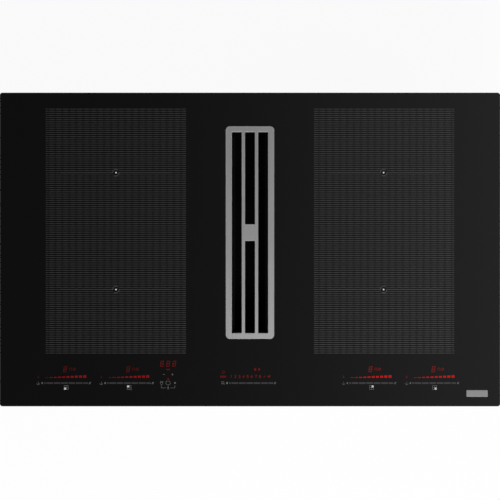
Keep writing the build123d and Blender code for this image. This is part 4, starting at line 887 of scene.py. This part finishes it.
class COOKTOP_OT_dress_housing(bpy.types.Operator):
    """Finishes the sheet-metal housings and their seals"""

    bl_idname = "cooktop.dress_housing"
    bl_label = "Housings and seals"

    def execute(self, context):
        tints = context.scene.cooktop_finishes
        sheet = spangled_sheet(tints.galvanised)
        dress(sheet, "hob_tray", "extractor_case", "extractor_base", "worktop_clamps")
        dress(foam(tints.foam), "rim_seal", "bond_bead")
        rubber = moulded("soft_rubber", tints.rubber, 0.68, 900.0, 0.15 * MM)
        dress(rubber, "grille_pads", "motor_dampers", "touch_pads")
        return {"FINISHED"}


class COOKTOP_OT_dress_coils(bpy.types.Operator):
    """Finishes the coils with their formers, ferrites, sensors, plates and mats"""

    bl_idname = "cooktop.dress_coils"
    bl_label = "Coils"

    def execute(self, context):
        tints = context.scene.cooktop_finishes
        former = moulded("coil_former", tints.former, 0.5, 1200.0, 0.1 * MM)
        sheet = brushed_metal("sheet_aluminium", tints.aluminium, (12.0, 1600.0, 600.0), 0.36, 0.05 * MM)
        for side in SIDES:
            for row in ROWS:
                dress(former, f"coil_former_{side}_{row}")
                winding = f"coil_winding_{side}_{row}"
                dress(coil_turns(tints.copper, winding), winding)
        dress(sheet, *pair("coil_plate", "heat_sink"))
        dress(speckled("ferrite", tints.ferrite, 0.6), "ferrite_bars")
        dress(speckled("sensor_ceramic", tints.ceramic, 0.4), "coil_sensors")
        dress(fibre_mat(tints.mat), *pair("insulation_mat"))
        return {"FINISHED"}


class COOKTOP_OT_dress_electronics(bpy.types.Operator):
    """Finishes the boards and what is soldered to them"""

    bl_idname = "cooktop.dress_electronics"
    bl_label = "Electronics"

    def execute(self, context):
        tints = context.scene.cooktop_finishes
        dress(circuit_board(tints.board), *pair("power_board"), "control_board")
        dress(mixed_components(tints.component), *pair("board_components"), "display_modules")
        return {"FINISHED"}


class COOKTOP_OT_dress_fixings(bpy.types.Operator):
    """Plates the screws, spacers and motor"""

    bl_idname = "cooktop.dress_fixings"
    bl_label = "Screws and motor"

    def execute(self, context):
        zinc = zinc_plate(context.scene.cooktop_finishes.zinc)
        dress(zinc, "case_screws", "clamp_screws", "spigot_screws", "base_screws")
        dress(zinc, "plate_spacers", "board_standoffs", "impeller_shaft", "motor", "motor_bearing")
        return {"FINISHED"}


class COOKTOP_OT_add_field_stripes(bpy.types.Operator):
    """Prints the rows of dashes in both cooking fields"""

    bl_idname = "cooktop.add_field_stripes"
    bl_label = "Field stripes"

    def execute(self, context):
        sizes = context.scene.cooktop_field
        enamel = glass_enamel("stripe_enamel", context.scene.cooktop_prints.stripe, STRIPE_LUSTRE)
        rear, pitch = field_rows(sizes)
        clear = sizes.ring / 2 + sizes.ring_line
        outer = -sizes.centre_x - sizes.width / 2
        inner = -sizes.centre_x + sizes.width / 2
        dashes = []
        gap = outer + sizes.first_gap - sizes.dash_pitch
        while gap < inner:
            dashes.append((gap + sizes.dash_gap / 2, gap + sizes.dash_pitch - sizes.dash_gap / 2))
            gap += sizes.dash_pitch
        for side, mirror in zip(SIDES, (1, -1)):
            layer = GlassPrint()
            mark = mirror * sizes.mark_shift - sizes.mark_x
            for row in range(sizes.rows):
                y = rear - row * pitch
                away = min(abs(y - zone) for zone in zone_rows(sizes))
                hole = math.sqrt(max(clear ** 2 - away ** 2, 0))
                if away < pitch / 2:
                    hole = sizes.zone_line + sizes.dash_gap
                for left, right in dashes:
                    for a, b in open_spans(max(left, outer), min(right, inner), mark - hole, mark + hole):
                        outline = dash_outline(left, right, a, b, sizes)
                        layer.prism([(mirror * px, y + py) for px, py in outline])
            layer.build(f"field_stripes_{side}", enamel)
        return {"FINISHED"}


class COOKTOP_OT_add_zone_marks(bpy.types.Operator):
    """Prints the dot, broken ring and long line in the middle of each zone"""

    bl_idname = "cooktop.add_zone_marks"
    bl_label = "Zone marks"

    def execute(self, context):
        sizes = context.scene.cooktop_field
        tints = context.scene.cooktop_prints
        rear, pitch = field_rows(sizes)
        half = sizes.zone_line_width / 2
        inside = sizes.ring / 2 + sizes.ring_line * 0.4
        dots = GlassPrint()
        rings = GlassPrint()
        lines = GlassPrint()
        for x in (sizes.mark_shift - sizes.mark_x, sizes.mark_shift + sizes.mark_x):
            for y in zone_rows(sizes):
                row_y = rear - round((rear - y) / pitch) * pitch
                dots.disc(x, y, sizes.dot / 2)
                for start, stop in RING_ARCS:
                    rings.band(moved(circle(sizes.ring / 2, start, stop, 24), x, y), sizes.ring_line)
                lines.bar(x - sizes.zone_line, x - inside, row_y - half, row_y + half)
                lines.bar(x + inside, x + sizes.zone_line, row_y - half, row_y + half)
        dots.build("zone_dots", glass_enamel("dot_enamel", tints.white))
        rings.build("zone_rings", glass_enamel("ring_enamel", tints.zone))
        lines.build("zone_lines", glass_enamel("zone_line_enamel", shade(tints.stripe, 1.2), STRIPE_LUSTRE))
        return {"FINISHED"}


class COOKTOP_OT_add_level_bars(bpy.types.Operator):
    """Lights the level bars of each zone control"""

    bl_idname = "cooktop.add_level_bars"
    bl_label = "Level bars"

    def execute(self, context):
        sizes = context.scene.cooktop_controls
        tints = context.scene.cooktop_prints
        places = unit_places(sizes)
        last = sizes.blocks - 1
        gap = sizes.block_split / 2
        for side, units, tint in zip(SIDES, (places[:2], places[2:]), (tints.bar_left, tints.bar_right)):
            layer = GlassPrint()
            for x in units:
                for i in range(sizes.blocks):
                    centre = x + (i - last / 2) * sizes.block_pitch
                    top = sizes.block_y + sizes.block_low + (sizes.block_high - sizes.block_low) * i / last
                    layer.bar(centre - sizes.block / 2, centre - gap, sizes.block_y, top)
                    layer.bar(centre + gap, centre + sizes.block / 2, sizes.block_y, top)
            layer.build(f"level_bars_{side}", lamp_window(f"bar_lamp_{side}", tint))
        return {"FINISHED"}


class COOKTOP_OT_add_digits(bpy.types.Operator):
    """Lights the display digits, the timer and the extractor's level numbers"""

    bl_idname = "cooktop.add_digits"
    bl_label = "Digits"

    def execute(self, context):
        sizes = context.scene.cooktop_controls
        digit_shift = 1.15 * MM
        number_start, number_pitch, number_line = -32.85, 6.83, 0.75 * MM
        layers = {side: GlassPrint() for side in LAMP_LEVELS}
        for x in unit_places(sizes):
            seven_segments(layers[side_of(x)], x - digit_shift, sizes.digit_y, sizes)
        for step in (-1, 0, 1):
            timer_x = sizes.timer_x + step * sizes.timer_pitch
            seven_segments(layers["middle"], timer_x, sizes.timer_y, sizes)
        for i, stroke in enumerate(NUMBER_STROKES):
            x = sizes.fan_x + (number_start + number_pitch * i) * MM
            layers["middle"].stroke(x, sizes.fan_digit_y, stroke, number_line)
        build_lamps(layers, "digits", "digit_lamp", context.scene.cooktop_prints.digit)
        return {"FINISHED"}


class COOKTOP_OT_add_lit_signs(bpy.types.Operator):
    """Lights the small red signs beside the digits and bars"""

    bl_idname = "cooktop.add_lit_signs"
    bl_label = "Lit signs"

    def execute(self, context):
        sizes = context.scene.cooktop_controls
        fine = 0.5 * MM
        layers = {side: GlassPrint() for side in LAMP_LEVELS}
        arch = [(-1.7, -2.4), *moved(circle(1.7, 180, 0, 10), 0, 0.6), (1.7, -2.4)]
        hands = [(0, 1.2), (0, 0), (0.9, 0)]
        pan = [(-1.8, -2.1), (1.8, -2.1), (0.9, -1.4), (0.2, -0.8), (0.2, 1.5)]
        pan += [(-0.2, 1.5), (-0.2, -0.8), (-0.9, -1.4)]
        for x in unit_places(sizes):
            layer = layers[side_of(x)]
            arch_x, clock_x, pan_x = (x + right * MM for right in (7.8, 13.9, -45.6))
            layer.stroke(arch_x, sizes.digit_y, arch, fine)
            layer.ring(clock_x, sizes.digit_y, 2.1 * MM, fine)
            layer.stroke(clock_x, sizes.digit_y, hands, fine)
            layer.prism(sign(pan, pan_x, sizes.block_y + 2.3 * MM))
        layer = layers["middle"]
        layer.block(sizes.timer_x, sizes.timer_y, -2.9, 2.9, -10.3, -8.9)
        layer.disc(sizes.timer_x, sizes.timer_y - 25.2 * MM, 1.4 * MM)
        fan_x = sizes.fan_x
        row_y = sizes.digit_y
        layer.block(fan_x, row_y, 5.4, 8.4, -2.2, 1.9)
        layer.block(fan_x, row_y, 12.3, 14.7, -2.2, 1.9)
        diamond = both_ways([(0, -2.5), (2.6, 0)])
        layer.stroke(fan_x - 45.9 * MM, row_y - 4.8 * MM, diamond, fine, closed=True)
        number_y = sizes.fan_digit_y
        tally_start, tally_pitch, tally_bars = -50.3, 1.65, 6
        for i in range(tally_bars):
            layer.block(fan_x + (tally_start + tally_pitch * i) * MM, number_y, -0.5, 0.5, -1.8, 1.4)
        tick = [(-2.0, -0.4), (-1.0, -1.2), (0.4, 0.2), (2.0, 1.4)]
        layer.stroke(fan_x + 22.3 * MM, number_y, tick, 0.7 * MM)
        wing = [(-2.9, 0.1), (-0.6, -1.1), (1.2, -2.0), (2.9, 1.9), (-0.6, 1.5)]
        layer.prism(sign(wing, fan_x + 29.7 * MM, number_y))
        build_lamps(layers, "signs", "sign_lamp", context.scene.cooktop_prints.sign)
        return {"FINISHED"}


class COOKTOP_OT_add_sliders(bpy.types.Operator):
    """Prints the dashed touch sliders with their end marks"""

    bl_idname = "cooktop.add_sliders"
    bl_label = "Sliders"

    def execute(self, context):
        sizes = context.scene.cooktop_controls
        tints = context.scene.cooktop_prints
        dashes = GlassPrint()
        ends = GlassPrint()
        half_height = sizes.slider_height / 2
        half_gap = sizes.slider_gap / 2
        first_gap = 3.6 * MM
        strokes_x, arrow_x, oval_x = 39.7 * MM, -39.6 * MM, -39.7 * MM
        arrow = [(-1.4, 0), (1.1, -2.0), (1.1, 2.0)]
        for x in (*unit_places(sizes), sizes.fan_x):
            left = x - sizes.slider / 2
            right = x + sizes.slider / 2
            gap = left + first_gap
            while left < right:
                stop = min(gap - half_gap, right)
                dashes.bar(left, stop, sizes.slider_y - half_height, sizes.slider_y + half_height)
                left = gap + half_gap
                gap += sizes.slider_pitch
            for step in (-0.8, 0.8):
                leaning = [(step - 0.9, -1.7), (step + 0.9, 1.7)]
                ends.stroke(x + strokes_x, sizes.slider_y, leaning, 0.7 * MM)
        for x in unit_places(sizes):
            ends.prism(sign(arrow, x + arrow_x, sizes.slider_y))
        oval = [(px * 0.65, py) for px, py in circle(1.9 * MM, 0, 360, 20)[:-1]]
        ends.prism(moved(oval, sizes.fan_x + oval_x, sizes.slider_y))
        dashes.build("slider_dashes", glass_enamel("slider_enamel", tints.slider, SLIDER_LUSTRE))
        ends.build("slider_ends", glass_enamel("slider_end_enamel", tints.line))
        return {"FINISHED"}


class COOKTOP_OT_add_key_prints(bpy.types.Operator):
    """Prints the zone keys, the pan signs and the timer, lock and power keys"""

    bl_idname = "cooktop.add_key_prints"
    bl_label = "Key prints"

    def execute(self, context):
        sizes = context.scene.cooktop_controls
        tints = context.scene.cooktop_prints
        filled = GlassPrint()
        frames = GlassPrint()
        lines = GlassPrint()
        bowl = [(-2.5, -0.5), (-2.0, -1.7), (-0.9, -2.5), (0.9, -2.5), (2.0, -1.7), (2.5, -0.5)]
        stem = [(0.3, 2.2), (0.3, -0.9)]
        chosen = ((-1, -1), (-1, 1), (1, 1), (1, -1))
        medium = 0.5 * MM
        half_line, reach, middle, half = 0.2, 3.3, 1.85, 1.65
        for x, (across, along) in zip(unit_places(sizes), chosen):
            key_x = x + 0.65 * MM
            key_y = sizes.key_y
            filled_x = key_x + middle * across * MM
            filled.block(filled_x, key_y + middle * along * MM, -half, half, -half, half)
            corners = [(0, along), (-across, along), (-across, -along), (across, -along), (across, 0)]
            corners = [(px * reach, py * reach) for px, py in corners]
            frames.stroke(key_x, key_y, corners, 2 * half_line * MM)
            frames.block(key_x, key_y, -half_line, half_line, -reach, reach)
            frames.block(key_x, key_y, -reach, reach, -half_line, half_line)
            pan_x = x - 45.7 * MM
            lines.stroke(pan_x, sizes.slider_y, bowl, medium)
            lines.stroke(pan_x, sizes.slider_y, stem, medium)
        timer_x = sizes.timer_x
        sign_y = sizes.timer_y - 17.8 * MM
        lines.block(timer_x, sign_y, -8.5, -5.6, -0.32, 0.32)
        cross = both_ways([(-1.7, -0.3), (-0.3, -0.3), (-0.3, -1.7), (0.3, -1.7), (0.3, -0.3), (1.7, -0.3)])
        lines.prism(sign(cross, timer_x + 7.1 * MM, sign_y))
        key_y = sizes.slider_y + 0.5 * MM
        shield = [(-1.9, 2.7), (-2.2, -0.4), (-1.2, -2.4), (0, -3.0), (1.2, -2.4), (2.2, -0.4), (1.9, 2.7)]
        notch = [(-0.8, 2.7), (-0.8, 0.4), (0.8, 0.4), (0.8, 2.7)]
        shield_x = timer_x - 10.8 * MM
        lines.stroke(shield_x, key_y, shield, medium)
        lines.stroke(shield_x, key_y, notch, sizes.line)
        lines.stroke(timer_x, key_y, circle(3.6, 118, 422, 30), medium)
        lines.stroke(timer_x, key_y, [(0, 3.4), (0, 1.4)], medium)
        lines.block(timer_x, key_y, 10.2, 12.6, -1.4, 1.0)
        for side in (-1, 1):
            bracket = [(11.2 * side, -3.6), (11.2 * side, -8.5), (4.0 * side, -8.5)]
            lines.stroke(timer_x, key_y, bracket, sizes.line)
        lines.disc(timer_x, key_y - 8.1 * MM, 1.0 * MM)
        lines.stroke(timer_x, key_y, [(0, -4.3), (0, -7.0)], sizes.line)
        lines.stroke(timer_x, key_y, moved(circle(2.2, 230, 310, 6), 0, -8.1), sizes.line)
        fan_x = sizes.fan_x - 46.5 * MM
        fan_y = sizes.slider_y + 0.7 * MM
        broad = 0.6 * MM
        lines.ring(fan_x, fan_y, 1.9 * MM, broad)
        lines.stroke(fan_x, fan_y, [(1.4, -1.5), (2.8, -3.2)], broad)
        lines.stroke(fan_x, fan_y, [(-1.4, -1.5), (-2.2, -2.6)], broad)
        filled.build("filled_keys", glass_enamel("key_enamel", tints.filled))
        frames.build("key_frames", glass_enamel("key_frame_enamel", tints.key))
        lines.build("key_lines", glass_enamel("key_line_enamel", tints.line))
        return {"FINISHED"}


class COOKTOP_OT_add_corner_plate(bpy.types.Operator):
    """Sets the plain metal plate into the front right corner"""

    bl_idname = "cooktop.add_corner_plate"
    bl_label = "Corner plate"

    def execute(self, context):
        tints = context.scene.cooktop_finishes
        layer = GlassPrint(rise=0.3 * MM)
        left, right = 358.7 * MM, 394.0 * MM
        front, rear = -244.1 * MM, -233.1 * MM
        radius = 0.9 * MM
        outline = []
        corners = ((right, rear, 0), (left, rear, 90), (left, front, 180), (right, front, 270))
        for x, y, turn in corners:
            inset_x = x - radius if x == right else x + radius
            inset_y = y - radius if y == rear else y + radius
            outline += moved(circle(radius, turn, turn + 90, 5), inset_x, inset_y)
        layer.prism(outline)
        tint = shade(tints.grille, 0.575)
        metal = brushed_metal("plate_steel", tint, (14.0, 2600.0, 900.0), 0.46, 0.05 * MM)
        plate = layer.build("corner_plate", metal)
        edge = plate.modifiers.new("edge", "BEVEL")
        edge.width = 0.12 * MM
        edge.segments = 2
        return {"FINISHED"}


class COOKTOP_OT_set_stage(bpy.types.Operator):
    """Sets the camera, the soft key lamp, the pale floor and the surroundings"""

    bl_idname = "cooktop.set_stage"
    bl_label = "Stage"

    def execute(self, context):
        scene = context.scene
        stage = scene.cooktop_stage
        scene.view_settings.view_transform = "Standard"
        eye = bpy.data.cameras.new("camera")
        eye.lens = stage.lens
        eye.sensor_width = 36
        eye.clip_end = 50
        scene.camera = new_object("camera", eye)
        scene.camera.location = (stage.camera_x, stage.camera_y, stage.camera_height)

        key = bpy.data.lights.new("key_lamp", "AREA")
        key.energy = stage.key_power
        key.size = stage.key_size
        lamp = new_object("key_lamp", key)
        lamp.location = (stage.key_x, stage.key_y, stage.key_z)
        lamp.rotation_euler = (-lamp.location).to_track_quat("-Z", "Y").to_euler()
        lamp.visible_camera = False

        mesh = bpy.data.meshes.new("floor")
        reach = 6.0
        corners = [(-reach, -reach), (reach, -reach), (reach, reach), (-reach, reach)]
        mesh.from_pydata([(x, y, FLOOR_LEVEL) for x, y in corners], [], [(0, 1, 2, 3)])
        floor = new_object("floor", mesh)
        paint, place = new_finish("pale_floor")
        grain = paint.noise(place, 30.0, 3.0)
        matt = paint.add("BsdfPrincipled", None, {
            "Base Color": paint.mix(shade(stage.floor, 0.99), stage.floor, grain),
            "Roughness": 0.9,
        })["BSDF"]
        white = paint.add("Emission", None, {"Color": (1, 1, 1, 1), "Strength": 1.0})["Emission"]
        path = paint.add("LightPath")
        seen = path["Is Camera Ray"].at_least(path["Is Glossy Ray"]).at_least(path["Is Transmission Ray"])
        blend = paint.add("MixShader", None, {0: seen * stage.floor_white, 1: matt, 2: white})["Shader"]
        paint.add("OutputMaterial", None, {"Surface": blend})
        mesh.materials.append(paint.owner)

        world = Finish(bpy.data.worlds.new("studio"))
        x, z = world.axes(world.add("TexCoord")["Generated"])[::2]
        # The directions that the panel mirrors to the camera are widened to a share of its width.
        widening = 3.79
        sky_low, sky_high = 0.15, 0.78
        right = (x * widening + 0.5).at_least(0.0)
        above = (stage.overhead + right * right * stage.overhead_bend).at_most(stage.overhead_top)
        path = world.add("LightPath")
        mirrored = path["Is Glossy Ray"].at_least(path["Is Transmission Ray"])
        rim = stage.horizon + mirrored * (1.0 - stage.horizon)
        level = rim + (above - rim) * world.ease(z, sky_low, sky_high)
        level = level.at_least(path["Is Camera Ray"])
        sky = world.add("Background", None, {"Color": level, "Strength": 1.0})["Background"]
        world.add("OutputWorld", None, {"Surface": sky})
        scene.world = world.owner
        return {"FINISHED"}


OPERATORS = (
    COOKTOP_OT_dress_glass,
    COOKTOP_OT_dress_grille,
    COOKTOP_OT_dress_air_path,
    COOKTOP_OT_add_grease_nets,
    COOKTOP_OT_dress_housing,
    COOKTOP_OT_dress_coils,
    COOKTOP_OT_dress_electronics,
    COOKTOP_OT_dress_fixings,
    COOKTOP_OT_add_field_stripes,
    COOKTOP_OT_add_zone_marks,
    COOKTOP_OT_add_level_bars,
    COOKTOP_OT_add_digits,
    COOKTOP_OT_add_lit_signs,
    COOKTOP_OT_add_sliders,
    COOKTOP_OT_add_key_prints,
    COOKTOP_OT_add_corner_plate,
    COOKTOP_OT_set_stage,
)

SETTINGS = {
    "cooktop_filter": FilterNetSizes,
    "cooktop_field": FieldPrintSizes,
    "cooktop_controls": ControlPrintSizes,
    "cooktop_prints": PrintColours,
    "cooktop_finishes": FinishColours,
    "cooktop_stage": StageSettings,
}


class COOKTOP_PT_pieces(bpy.types.Panel):
    """Lists the cooktop's pieces and settings"""

    bl_idname = "COOKTOP_PT_pieces"
    bl_label = "Cooktop"
    bl_space_type = "VIEW_3D"
    bl_region_type = "UI"
    bl_category = "Cooktop"

    def draw(self, context):
        for operator in OPERATORS:
            self.layout.operator(operator.bl_idname)
        for name, group in SETTINGS.items():
            box = self.layout.box()
            for key in group.__annotations__:
                box.prop(getattr(context.scene, name), key)


def register():
    for group in SETTINGS.values():
        bpy.utils.register_class(group)
    for operator in OPERATORS:
        bpy.utils.register_class(operator)
    bpy.utils.register_class(COOKTOP_PT_pieces)
    for name, group in SETTINGS.items():
        setattr(bpy.types.Scene, name, bpy.props.PointerProperty(type=group))


def unregister():
    for name in SETTINGS:
        delattr(bpy.types.Scene, name)
    bpy.utils.unregister_class(COOKTOP_PT_pieces)
    for operator in reversed(OPERATORS):
        bpy.utils.unregister_class(operator)
    for group in reversed(SETTINGS.values()):
        bpy.utils.unregister_class(group)


def main():
    register()
    for operator in OPERATORS:
        getattr(bpy.ops.cooktop, operator.bl_idname.partition(".")[2])()


if __name__ == "__main__":
    main()
